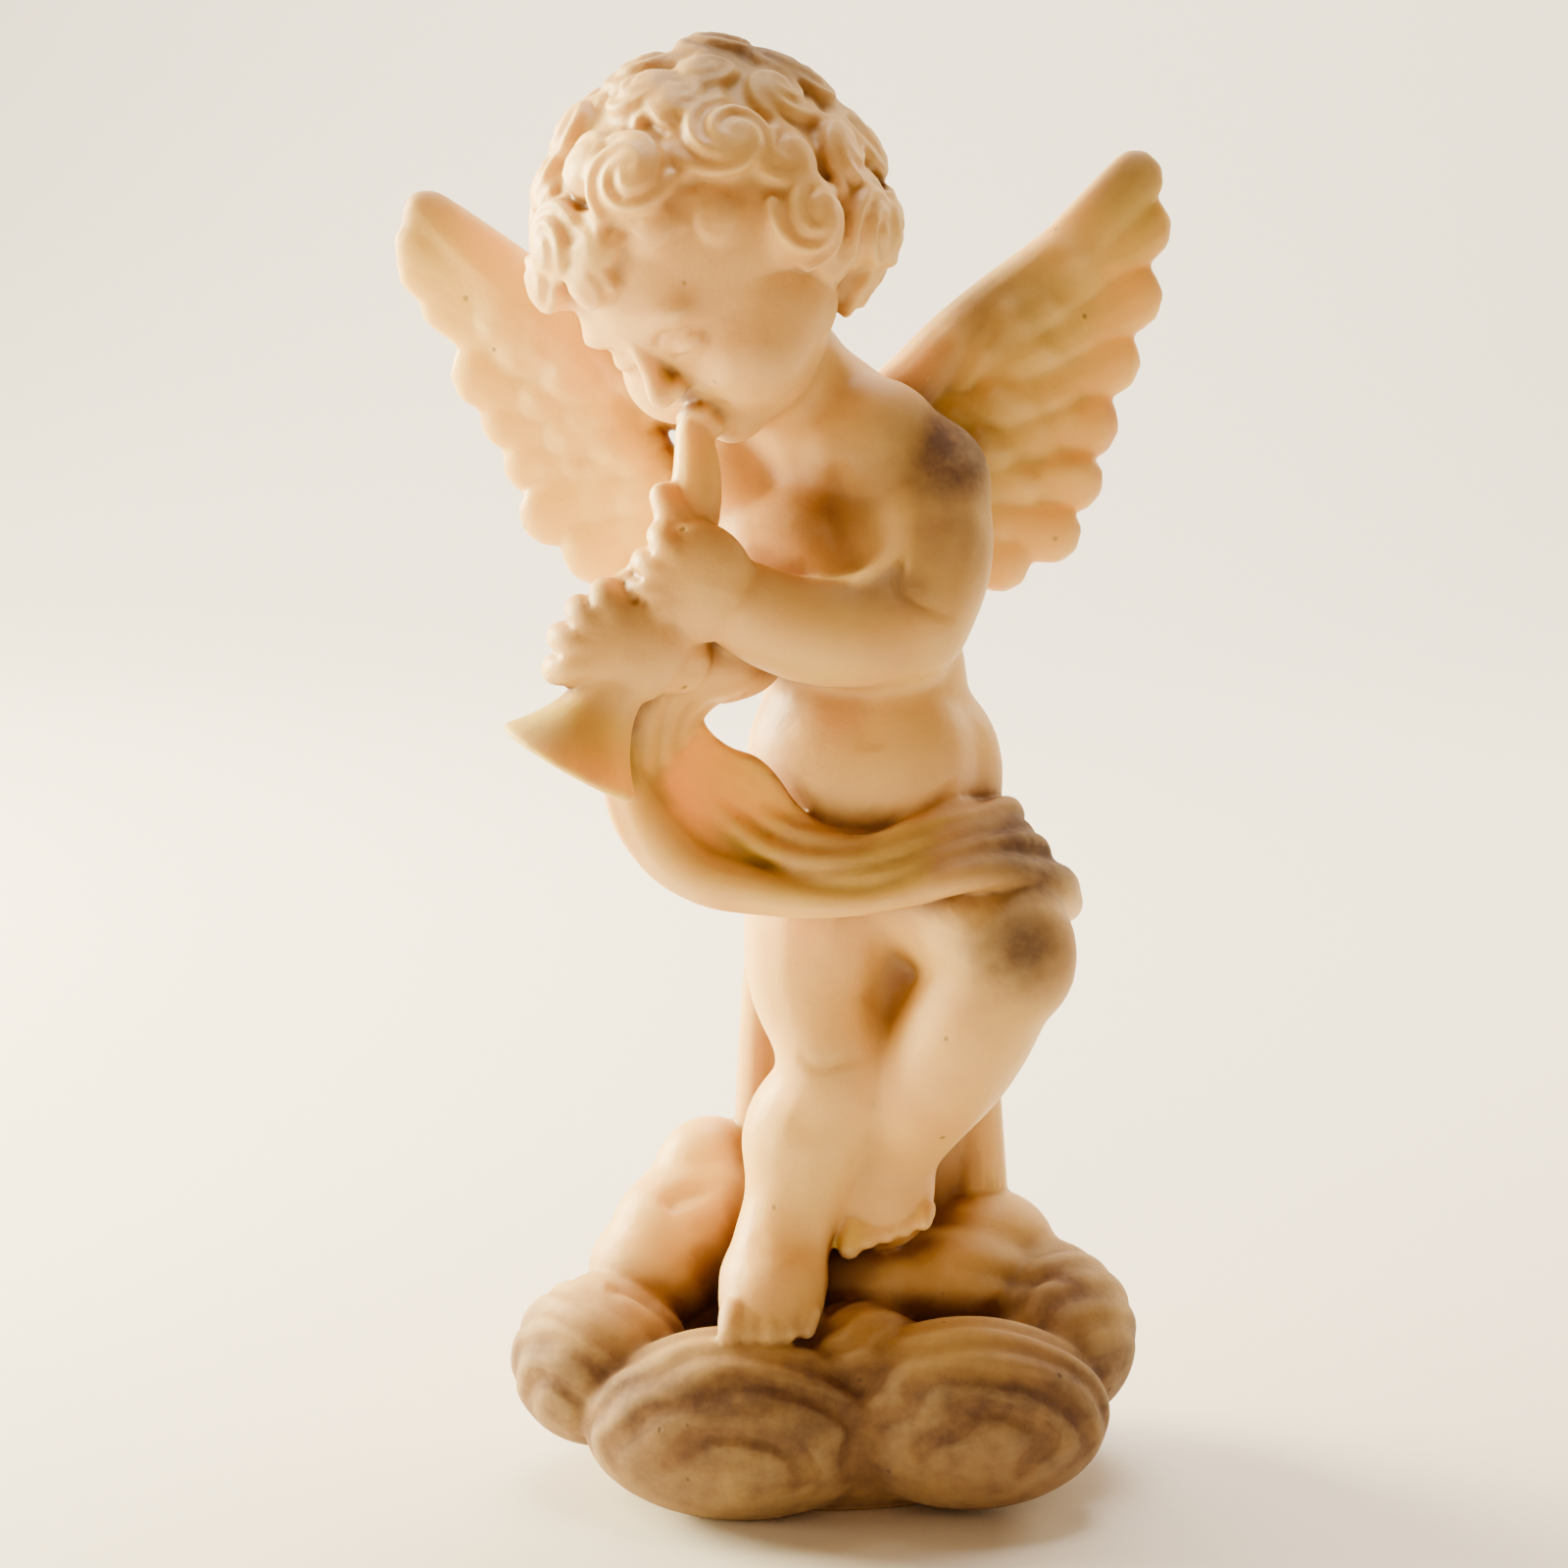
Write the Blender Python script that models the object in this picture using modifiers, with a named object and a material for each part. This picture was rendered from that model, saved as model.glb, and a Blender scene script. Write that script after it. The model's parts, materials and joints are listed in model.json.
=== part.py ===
# Cherub figurine: a winged child on a bank of cloud, blowing a horn, cast in one piece of marble resin.
# Metres, +Z up. The figure faces -Y. The origin is on the flat underside, below the middle of the cloud.
import math

import bmesh
import bpy
from mathutils import Matrix, Vector

# Driving dimensions, in metres
FIGURE_HEIGHT = 0.252  # from the standing sole to the topmost curl
CLOUD_HEIGHT = 0.038  # from the ground to the standing sole
CLOUD_WIDTH = 0.130
CLOUD_DEPTH = 0.104
WING_THICKNESS = 0.0034  # of a feather at its middle
HORN_MOUTH_RADIUS = 0.0145
HORN_WALL = 0.0024
FOLDS = 4  # rolled folds along the sash

# The figure is drawn below in steps of 1/252 of its height, from a sole drawn at 38.
DRAWN_HEIGHT = 252.0
DRAWN_SOLE = 38.0
STEP = FIGURE_HEIGHT / DRAWN_HEIGHT

# The clay: size of the voxels that fuse shapes, rounds of smoothing, and faces kept
FLESH_VOXEL = 0.0013
FINE_VOXEL = 0.0010
TRIANGLES = 9800

SKIN_COLOUR = (0.80, 0.66, 0.47, 1.0)
SKIN_ROUGHNESS = 0.55

DRAWING = (
    Matrix.Translation((0, 0, CLOUD_HEIGHT))
    @ Matrix.Scale(STEP, 4)
    @ Matrix.Translation((0, 0, -DRAWN_SOLE))
)
HERE = Matrix.Identity(4)


def clear_scene():
    for thing in list(bpy.data.objects):
        bpy.data.objects.remove(thing, do_unlink=True)


def turned(x=0, y=0, z=0):
    """A rotation by degrees about X, then Y, then Z."""
    return (
        Matrix.Rotation(math.radians(z), 4, "Z")
        @ Matrix.Rotation(math.radians(y), 4, "Y")
        @ Matrix.Rotation(math.radians(x), 4, "X")
    )


def along(direction, up=(0, 0, 1)):
    """A rotation that takes +Z to direction, with +Y as near to up as it can be."""
    z_axis = Vector(direction).normalized()
    x_axis = Vector(up).cross(z_axis).normalized()
    y_axis = z_axis.cross(x_axis)
    return Matrix((x_axis, y_axis, z_axis)).transposed().to_4x4()


def ball(centre, radii, turn=(0, 0, 0), place=HERE):
    """An ellipsoid, in the drawing's steps."""
    bpy.ops.mesh.primitive_uv_sphere_add(segments=32, ring_count=16, radius=1)
    piece = bpy.context.object
    size = Matrix.Diagonal((*radii, 1))
    piece.matrix_world = DRAWING @ place @ Matrix.Translation(centre) @ turned(*turn) @ size
    return piece


def limb(points, radii, place=HERE):
    """A round-ended tube through the points, with a radius at each, in the drawing's steps."""
    points = [Vector(point) for point in points]
    first = (points[0] - points[1]).normalized()
    last = (points[-1] - points[-2]).normalized()
    route = [points[0] + first * radii[0] * 0.9, points[0] + first * radii[0] * 0.5]
    route += points
    route += [points[-1] + last * radii[-1] * 0.5, points[-1] + last * radii[-1] * 0.9]
    sizes = [radii[0] * 0.45, radii[0] * 0.86, *radii, radii[-1] * 0.86, radii[-1] * 0.45]
    curve = bpy.data.curves.new("limb", "CURVE")
    curve.dimensions = "3D"
    curve.bevel_depth = 1
    curve.bevel_resolution = 4
    curve.resolution_u = 5
    curve.use_fill_caps = True
    spline = curve.splines.new("BEZIER")
    spline.radius_interpolation = "CARDINAL"
    spline.bezier_points.add(len(route) - 1)
    for knot, point, size in zip(spline.bezier_points, route, sizes):
        knot.co = point
        knot.radius = size
        knot.handle_left_type = knot.handle_right_type = "AUTO"
    piece = bpy.data.objects.new("limb", curve)
    bpy.context.scene.collection.objects.link(piece)
    piece.matrix_world = DRAWING @ place
    return piece


def as_mesh(piece):
    """The piece as its modifiers and curve leave it, in a new mesh at the origin."""
    graph = bpy.context.evaluated_depsgraph_get()
    mesh = bpy.data.meshes.new_from_object(piece.evaluated_get(graph))
    mesh.transform(piece.matrix_world)
    return mesh


def clay(name, pieces, voxel, rounds):
    """The pieces fused into one body, with its seams smoothed over."""
    bpy.context.view_layer.update()
    cage = bmesh.new()
    for piece in pieces:
        cage.from_mesh(as_mesh(piece))
        bpy.data.objects.remove(piece, do_unlink=True)
    bmesh.ops.remove_doubles(cage, verts=cage.verts, dist=1e-7)
    mesh = bpy.data.meshes.new(name)
    cage.to_mesh(mesh)
    cage.free()
    body = bpy.data.objects.new(name, mesh)
    bpy.context.scene.collection.objects.link(body)
    remesh = body.modifiers.new("fuse", "REMESH")
    remesh.mode = "VOXEL"
    remesh.voxel_size = voxel
    if rounds:
        smooth = body.modifiers.new("smooth", "SMOOTH")
        smooth.factor = 0.5
        smooth.iterations = rounds
    bpy.context.view_layer.update()
    body.data = as_mesh(body)
    body.modifiers.clear()
    return body


def torso():
    lean = (0, 0, -18)
    return [
        ball((1, 3, 186), (24, 17, 24), lean),
        ball((-2, -4, 192), (18, 12, 14), lean),
        ball((8, -7, 192), (11, 8, 10), lean),
        ball((-11, -4, 192), (11, 8, 10), lean),
        ball((5, -3, 170), (19, 15, 17), lean),
        ball((7, 2, 164), (20.5, 16, 22), lean),
        ball((6, -4, 149), (23, 18, 22), lean),
        ball((13, 1, 146), (18, 15.5, 20)),
        ball((13, 3, 126), (27, 20, 18)),
        ball((13, 1, 104), (13, 12, 16)),
        ball((2, 12, 121), (14, 12, 14)),
        ball((23, 12, 121), (14, 12, 14)),
        ball((2, 10, 196), (21, 11, 18), lean),
        limb([(2, 3, 204), (-4, 0, 217), (-11, -4, 229)], [14, 13, 12]),
        limb([(-6, 3, 226), (7, 3, 216), (17, 1, 207)], [8, 8.5, 10.5]),
        limb([(-10, 3, 224), (-19, 6, 206)], [8, 10]),
    ]


def near_arm():
    return [
        ball((18.5, -2, 203.5), (13, 12.5, 13.5)),
        limb([(18.5, -3, 202), (20.5, -8, 191), (16, -14, 178)], [12, 11.5, 11]),
        limb([(14, -15, 177.5), (2, -21, 177.5), (-9, -28, 182), (-16, -33, 187)], [10.8, 10.5, 8.8, 7.2]),
    ]


def far_arm():
    return [
        ball((-18, 6, 204), (12, 12, 12)),
        limb([(-18, 6, 201), (-14, 6, 190), (-7, 2, 179)], [11, 10.5, 9.5]),
        limb([(-7, 1, 178), (-18, -12, 175), (-31, -24, 172.5)], [9.5, 9, 7.2]),
    ]


def standing_leg():
    return [
        limb(
            [(2, 1, 126), (-2, -1, 105), (0.5, -7, 87), (-2.5, -4, 73), (-6.5, -6, 60), (-10, -9, 50)],
            [18, 15.8, 12, 13, 10.8, 10],
        ),
        ball((-11, -12, 45), (11.3, 13.5, 9.5)),
        ball((-11.5, -17, 42), (11.2, 10.5, 7.5), (20, 0, -8)),
    ]


def bent_leg():
    return [
        limb([(21, 3, 124), (29, -11, 121), (34, -20, 116)], [19, 17, 14]),
        ball((34.5, -21, 114.5), (12.8, 12, 14)),
        limb([(33.5, -19, 110), (25, -13, 93), (18, -7, 80), (13, -2, 70)], [12.3, 13.5, 11.6, 9.8]),
        ball((11, -3, 60.5), (9.6, 7.6, 14.5), (-10, 8, 0)),
    ]


# The head is drawn about its own middle, facing -Y, and then set on the neck.
HEAD = Matrix.Translation((-20.6, -10, 248)) @ turned(z=-52) @ turned(y=-15) @ turned(x=40)
SKULL = (26.5, 28.5, 26.5)
SKULL_CENTRE = (0, 0.5, 6)


def head():
    pieces = [
        ball(SKULL_CENTRE, SKULL, place=HEAD),
        ball((0, -7.5, 9), (21, 19.5, 18), place=HEAD),
        ball((0, -9, -9), (20.5, 18.5, 18), place=HEAD),
        ball((0, -21.5, -22), (7, 6.5, 5), place=HEAD),
    ]
    for side in (-1, 1):
        pieces += [
            ball((11 * side, -15, -11.5), (11.8, 11.5, 12), place=HEAD),
            ball((9 * side, -24.6, 6), (8.5, 3.2, 2.8), (0, 8 * side, 0), place=HEAD),
        ]
    return pieces


def face():
    """Small soft forms that the smoothing of the flesh would lose."""
    pieces = [
        limb([(0, -26.6, 2.5), (0, -28.2, -3), (0, -30.2, -7)], [2.3, 2.6, 3.2], HEAD),
        ball((0, -28.6, -15), (4.8, 3, 1.9), place=HEAD),
        ball((0, -28.2, -18.2), (4.2, 2.8, 1.9), place=HEAD),
    ]
    for side in (-1, 1):
        pieces += [
            ball((2.9 * side, -28.6, -8), (2.3, 2.4, 1.9), place=HEAD),
            ball((9 * side, -24.8, -0.5), (5, 3.2, 3.4), place=HEAD),
            ball((25 * side, 2, -7), (3, 6, 8), place=HEAD),
        ]
    return pieces


# Curls in rows from the crown down: angle from the crown, how many go round, size of each,
# and the angle on both sides of the face that is left free
CURL_ROWS = (
    (4, 1, 10, 0),
    (31, 6, 9.8, 0),
    (57, 9, 9.6, 40),
    (82, 11, 9.4, 56),
    (106, 11, 9.2, 76),
    (128, 10, 9.0, 105),
)
# Curls that stand out of the rows: angle from the crown, heading and size
TALL_CURLS = (
    (52, 160, 12.5),
    (30, -83, 12),
    (106, 144, 11),
    (122, 132, 13.5),
    (140, 120, 11),
    (66, -48, 10),
)


def curl(tilt, heading, size, hand):
    """One lock: a cushion of hair with a strand wound round it."""
    tip = turned(z=heading) @ turned(x=tilt)
    outward = (tip @ Vector((0, 0, 1))).normalized()
    seat = Vector(SKULL_CENTRE) + Vector([o * r for o, r in zip(outward, SKULL)])
    frame = HEAD @ Matrix.Translation(seat) @ tip
    turns, beads = 1.2, 9
    strand = []
    radii = []
    for bead in range(beads):
        share = bead / (beads - 1)
        angle = hand * math.tau * turns * share
        reach = size * (0.66 - 0.42 * share)
        rise = size * (0.1 + 0.3 * math.sin(2 * share))
        strand.append((reach * math.cos(angle), reach * math.sin(angle), rise))
        radii.append(size * (0.33 - 0.05 * share))
    return [
        ball((0, 0, 0), (size * 0.85, size * 0.85, size * 0.5), place=frame),
        limb(strand, radii, frame),
    ]


def hair():
    pieces = [ball(SKULL_CENTRE, [radius + 3 for radius in SKULL], place=HEAD)]
    hand = 1
    for row, (tilt, count, size, bare) in enumerate(CURL_ROWS):
        for step in range(count):
            # no two locks sit quite alike
            drift = math.sin(7.3 * row + 4.1 * step)
            heading = 360 * (step + 0.5 * (row % 2) + 0.12 * drift) / count
            hand = -hand
            facing = abs((heading + 180) % 360 - 180)
            if facing < bare:
                continue
            pieces += curl(tilt + 4 * drift, heading, size * (1 + 0.1 * drift), hand)
    for tilt, heading, size in TALL_CURLS:
        hand = -hand
        pieces += curl(tilt, heading, size, hand)
    return pieces


# The horn bends a little between the lips and the bell.
LIPS = HEAD @ Vector((0, -31.5, -16.5))
HORN_ROUTE = (tuple(LIPS), (-25.5, -28, 206), (-28.5, -31, 193.5), (-35, -34, 181), (-41.5, -36.5, 169))
HORN_RADII = (3.6, 5.0, 5.4, 5.7, 6.3)
BELL_AXIS = (-0.5, -0.1, -0.86)
BELL_LENGTH = 16.5
RIM_BEAD = 1.5


def horn():
    return [limb(HORN_ROUTE, HORN_RADII)]


def bell():
    """The flared end, turned about its own axis, with a hollow mouth."""
    mouth = HORN_MOUTH_RADIUS / STEP
    wall = HORN_WALL / STEP
    neck = HORN_RADII[-1]
    rings = 8
    outer = []
    for ring in range(rings + 1):
        share = ring / rings
        outer.append((neck + (mouth - RIM_BEAD - neck) * share**2.5, BELL_LENGTH * share))
    hollow = [(radius - wall, depth) for radius, depth in outer if depth > BELL_LENGTH * 0.35]
    profile = [(0, -2)] + [(neck, -2)] + outer + hollow[::-1] + [(0, hollow[0][1])]
    mesh = bpy.data.meshes.new("bell")
    corners = [(radius, 0, depth) for radius, depth in profile]
    mesh.from_pydata(corners, [(i, i + 1) for i in range(len(corners) - 1)], [])
    piece = bpy.data.objects.new("bell", mesh)
    bpy.context.scene.collection.objects.link(piece)
    screw = piece.modifiers.new("turn", "SCREW")
    screw.steps = screw.render_steps = 32
    screw.use_merge_vertices = True
    screw.merge_threshold = 0.0001
    screw.use_normal_calculate = True
    piece.matrix_world = DRAWING @ Matrix.Translation(HORN_ROUTE[-1]) @ along(BELL_AXIS)
    bpy.ops.mesh.primitive_torus_add(
        major_segments=40,
        minor_segments=10,
        major_radius=mouth - RIM_BEAD,
        minor_radius=RIM_BEAD,
    )
    bead = bpy.context.object
    bead.matrix_world = piece.matrix_world @ Matrix.Translation((0, 0, BELL_LENGTH - RIM_BEAD))
    return [piece, bead]


def grip(station, wrist, finger, tube, spread):
    """A hand over the front of the horn: its back, four fingers that go round the far side, and a thumb."""
    station = Vector(station)
    upward = (Vector(HORN_ROUTE[1]) - Vector(HORN_ROUTE[4])).normalized()
    right = (Vector((1, 0, 0)) - upward * upward.x).normalized()
    forward = right.cross(upward)

    def spot(angle, reach, height):
        angle = math.radians(angle)
        return station + (right * math.cos(angle) + forward * math.sin(angle)) * reach + upward * height

    pieces = []
    for step in range(4):
        height = spread * (1.5 - step)
        length = (0.96, 1.06, 1.0, 0.86)[step]
        knuckle = spot(84, tube + finger * 1.75, height * 0.92)
        bones = [knuckle]
        for angle, reach in ((116, 1.75), (146, 1.35), (178, 1.1), (206, 1.0)):
            bones.append(spot(84 + (angle - 84) * length, tube + finger * reach, height))
        pieces.append(limb(bones, [finger * 1.18, finger * 1.1, finger * 1.08, finger, finger * 0.92]))
        pieces.append(limb([knuckle, Vector(wrist)], [finger * 1.2, finger * 1.9]))
    thumb = [
        Vector(wrist).lerp(spot(60, tube + finger * 1.6, spread * 1.6), 0.35),
        spot(70, tube + finger * 1.4, spread * 2.3),
        spot(112, tube + finger * 0.9, spread * 3.0),
        spot(136, tube + finger * 0.8, spread * 3.7),
    ]
    pieces.append(limb(thumb, [finger * 1.7, finger * 1.55, finger * 1.2, finger]))
    return pieces


def hands():
    near = grip((-29.5, -31.5, 190), (-12.5, -33, 186.5), 2.55, 5.4, 5.4)
    far = grip((-40.5, -34.5, 173), (-26, -24, 174), 2.7, 6.3, 5.3)
    return near + far


def toes():
    pieces = []
    for toe in range(5):
        length = (1.0, 0.9, 0.8, 0.7, 0.6)[toe]
        size = (3.1, 2.6, 2.5, 2.4, 2.5)[toe]
        start = Vector((-3.8 - 4.1 * toe, -23 - 2.2 * math.sin(0.8 * toe), 42))
        pieces.append(limb([start, start + Vector((-0.4, -3.6 * length, -3.6))], [size * 1.1, size]))
        start = Vector((4.5 + 3.4 * toe, -4 + 0.6 * toe, 52 + 0.8 * toe))
        pieces.append(limb([start, start + Vector((-0.8, -2.4, -4.5 * length))], [size * 0.95, size * 0.85]))
    return pieces


# The sash hangs over the far forearm, swings round the hips and ends behind them.
# Its inner and outer edges: each point with the radius of the fold there
SASH_INNER = (
    (-25, -14, 170, 3.6), (-27, -20, 163, 3.2), (-25.5, -23, 158, 3), (-22, -25, 153, 2.8),
    (-16, -25, 147, 2.6), (-5.5, -24.5, 140, 2.4), (6, -24, 135.5, 2.2), (15.5, -23.5, 136.5, 2.4),
    (24.5, -19, 139.5, 2.8), (32, -12, 140, 3.2), (34.5, 0, 137, 3.5), (30, 13, 138, 3.5),
    (15, 20, 139, 3.5), (-2, 19, 139, 3.5), (-11, 13, 137, 3.5),
)
SASH_OUTER = (
    (-35, -20, 170, 4), (-37.5, -24, 158, 3.6), (-38, -26, 148, 3.6), (-34.5, -27, 138.5, 3.6),
    (-25.5, -27, 129.5, 3.4), (-12.5, -27, 124.5, 3), (2.5, -28, 124, 2.5), (15, -29, 126, 2.5),
    (26.5, -29, 129.5, 2.8), (37, -23, 129, 3.4), (44, -8, 122, 4.4), (43.5, 8, 116, 4.4),
    (28, 25, 118, 4), (4, 27, 120, 4), (-13, 20, 118, 4),
)


def sash():
    pieces = []
    for step in range(2 * FOLDS - 1):
        share = step / (2 * FOLDS - 2)
        # every second route is the web that joins two folds
        full = 1.0 if step % 2 == 0 else 0.6
        route = []
        sizes = []
        for inner, outer in zip(SASH_INNER, SASH_OUTER):
            x, y, z, radius = Vector(inner).lerp(Vector(outer), share)
            route.append((x, y - 1.2 * math.sin(math.pi * share), z))
            sizes.append(radius * full)
        pieces.append(limb(route, sizes))
    return pieces


def hanging_cloth():
    """The end of the sash falls behind the legs, in upright folds, and backs them."""
    pieces = [ball((9, 17, 84), (24, 8, 48))]
    folds = 7
    for fold in range(folds):
        share = fold / (folds - 1)
        x_top = -10 + 40 * share
        x_foot = -13.5 + 45 * share
        y_bulge = 17 + 9 * math.sin(math.pi * share)
        pieces.append(
            limb(
                [
                    (x_top, y_bulge - 3, 132),
                    (x_top - 2, y_bulge, 105),
                    (x_foot + 2 * math.sin(3 * fold), y_bulge + 1, 75),
                    (x_foot, y_bulge + 1, 40),
                ],
                [4, 5, 5.5, 6.5],
            )
        )
    return pieces


# Lobes of the cloud: middle, radii and the way its ripples face, as drawn for a cloud 130 wide,
# 104 deep and 36 high
CLOUD_LOBES = (
    ((-21, -22, 17.5), (26.5, 18.5, 17.5), (-0.25, -1, -0.9)),
    ((30, -22, 20), (24.5, 17.5, 17.5), (0.25, -1, -0.9)),
    ((-46, -4, 24), (17.5, 19.5, 15.5), (-0.7, -0.8, -0.8)),
    ((45.5, 2, 27), (16.5, 21, 16), (0.8, -0.7, -0.8)),
    ((6, -16, 27), (14, 15, 11.5), (0.2, -1, -0.4)),
    ((-28, 23, 22), (24, 20.5, 19), (-0.5, 1, -0.8)),
    ((28, 24, 23), (25, 19.5, 19), (0.5, 1, -0.8)),
    ((0, 30, 20), (21, 19.5, 17), (0, 1, -0.8)),
)
DRAWN_CLOUD = (130.0, 104.0, 36.0)
RIPPLES = (28, 53, 78, 103)  # degrees from the middle of a lobe's face to each of its ripples
RIPPLE_SIZE = 0.215  # radius of a ripple's roll, as a share of its lobe's


def cloud():
    """Each lobe is a ball with rolls lying on it in rings, like the coats of an onion."""
    stretch = Matrix.Diagonal(
        (CLOUD_WIDTH / DRAWN_CLOUD[0], CLOUD_DEPTH / DRAWN_CLOUD[1], CLOUD_HEIGHT / DRAWN_CLOUD[2], 1)
    )
    pieces = []
    for centre, radii, facing in CLOUD_LOBES:
        place = stretch @ Matrix.Translation(centre) @ Matrix.Diagonal((*radii, 1)) @ along(facing)
        piece = ball((0, 0, 0), (1, 1, 1))
        piece.matrix_world = place
        pieces.append(piece)
        for tilt in RIPPLES:
            tilt = math.radians(tilt)
            bpy.ops.mesh.primitive_torus_add(
                major_segments=32,
                minor_segments=10,
                major_radius=0.85 * math.sin(tilt),
                minor_radius=RIPPLE_SIZE,
            )
            roll = bpy.context.object
            roll.matrix_world = place @ Matrix.Translation((0, 0, 0.85 * math.cos(tilt)))
            pieces.append(roll)
    core = ball((0, 0, 0), (1, 1, 1))
    core.matrix_world = stretch @ Matrix.Translation((0, 0, 10)) @ Matrix.Diagonal((46, 36, 16, 1))
    return pieces + [core]


def cloud_heap():
    """Puffs that climb behind the legs and carry the lifted foot."""
    return [
        ball((-27, 13, 47), (15, 13, 15)),
        ball((-35, 8, 41), (13, 13, 11)),
        ball((-23.5, 17, 57.5), (12, 10, 13)),
        ball((12, 2, 40), (15, 13, 9)),
        ball((32, 15, 42), (15, 14, 13)),
        ball((43, 8, 38), (13, 14, 8)),
    ]


# Wings: the arm's route and each flight feather's root, tip and half width, in the drawing
LEFT_WING = {
    "arm": ((-6, 14, 207), (-24, 17, 215), (-45, 20, 226), (-62.5, 24, 237), (-80, 29, 253)),
    "feathers": (
        ((-36, 18, 221), (-82, 29, 255.5), 6.5),
        ((-42, 19, 221), (-84.5, 30, 247.5), 8.5),
        ((-38, 19, 215), (-75, 28, 223), 8.5),
        ((-33, 18, 208), (-67.5, 27, 206), 8.5),
        ((-28, 17, 202), (-62.5, 25, 192), 8.5),
        ((-22, 16, 198), (-53, 23, 183), 8),
        ((-16, 16, 196), (-42, 21, 177), 8),
        ((-10, 15, 196), (-30, 19, 176), 8),
    ),
}
RIGHT_WING = {
    "arm": ((0, 14, 206), (12.5, 16, 216.5), (26.5, 20, 231), (43.5, 24, 244.5), (61.5, 29, 259)),
    "feathers": (
        ((26, 18, 222), (64.5, 29, 264), 6.5),
        ((30, 19, 228), (67, 30, 254), 8),
        ((30, 19, 222), (66, 29, 239.5), 8),
        ((28, 18, 214), (62, 28, 226), 8),
        ((25, 17, 206), (58, 26, 212.5), 8),
        ((20, 16, 200), (55, 24, 200), 7.2),
        ((15, 16, 196), (50.5, 22, 188.5), 7),
        ((10, 15, 194), (40, 20, 182), 7),
        ((6, 14, 206), (30, 17, 208), 9),
    ),
}


def feather(root, tip, half_width, thickness, lean):
    """A flat blade with a round end, broadest past its middle."""
    length = (tip - root).length - half_width * 0.9
    flat = Matrix.Diagonal((1, thickness / half_width, 1, 1))
    place = Matrix.Translation(root) @ along(tip - root, lean) @ flat
    spine = [(0, 0, 0), (0, 0, length * 0.5), (0, 0, length)]
    return limb(spine, [half_width * 0.75, half_width, half_width], place)


def wing(drawn):
    thickness = WING_THICKNESS / STEP
    pieces = [limb(drawn["arm"], [8, 7.5, 6.2, 5.2, 3.9])]
    lean = Vector((0, -1, 0))
    for root, tip, half_width in drawn["feathers"]:
        root, tip = Vector(root), Vector(tip)
        # a long flight feather, a shorter covert over it, and a small one over that
        for reach, width, lift in ((1.0, 1.0, 0.0), (0.64, 0.8, 0.7), (0.36, 0.7, 1.3)):
            rise = lean * thickness * lift
            end = root.lerp(tip, reach) + rise
            pieces.append(feather(root + rise, end, half_width * width, thickness, lean))
    return pieces


def stone_resin():
    material = bpy.data.materials.new("marble_resin")
    material.use_nodes = True
    shader = material.node_tree.nodes["Principled BSDF"]
    shader.inputs["Base Color"].default_value = SKIN_COLOUR
    shader.inputs["Roughness"].default_value = SKIN_ROUGHNESS
    shader.inputs["Metallic"].default_value = 0.0
    return material


def cut_flat(mesh):
    """Cuts off what is below the ground and closes the cut with a flat face."""
    cast = bmesh.new()
    cast.from_mesh(mesh)
    everything = cast.verts[:] + cast.edges[:] + cast.faces[:]
    cut = bmesh.ops.bisect_plane(
        cast, geom=everything, plane_co=(0, 0, 0), plane_no=(0, 0, 1), clear_inner=True
    )
    rim = [part for part in cut["geom_cut"] if isinstance(part, bmesh.types.BMEdge)]
    bmesh.ops.holes_fill(cast, edges=rim)
    bmesh.ops.triangulate(cast, faces=cast.faces[:])
    cast.to_mesh(mesh)
    cast.free()


def figurine():
    flesh = torso() + near_arm() + far_arm() + standing_leg() + bent_leg() + head()
    bodies = [
        clay("flesh", flesh, FLESH_VOXEL, 30),
        clay("small_flesh", face() + toes() + hands(), FINE_VOXEL * 0.8, 3),
        clay("hair", hair(), FINE_VOXEL, 2),
        clay("sash", sash() + hanging_cloth(), FINE_VOXEL * 0.9, 2),
        clay("wings", wing(LEFT_WING) + wing(RIGHT_WING), FINE_VOXEL, 2),
        clay("cloud", cloud(), FINE_VOXEL * 1.4, 3),
        clay("cloud_heap", cloud_heap(), FINE_VOXEL * 1.4, 4),
    ]
    cast = clay("cherub", bodies + horn() + bell(), FINE_VOXEL, 2)
    thin = cast.modifiers.new("thin", "DECIMATE")
    triangles = sum(len(face.vertices) - 2 for face in cast.data.polygons)
    thin.ratio = min(1.0, TRIANGLES / triangles)
    bpy.context.view_layer.update()
    cast.data = as_mesh(cast)
    cast.modifiers.clear()
    cut_flat(cast.data)
    cast.data.shade_smooth()
    cast.data.materials.clear()
    cast.data.materials.append(stone_resin())
    return cast


clear_scene()
collection = bpy.data.collections.new("cherub_figurine")
bpy.context.scene.collection.children.link(collection)
cherub = figurine()
bpy.context.scene.collection.objects.unlink(cherub)
collection.objects.link(cherub)
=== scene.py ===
# Cherub figurine in cast marble resin: a winged child on a bank of cloud, blowing a short horn.
# Metres, +Z up. The child faces -Y, and the origin is on the flat underside.
import json
import math

import bpy
import numpy as np
from mathutils import Matrix, Vector
from mathutils.bvhtree import BVHTree
from mathutils.kdtree import KDTree

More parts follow.
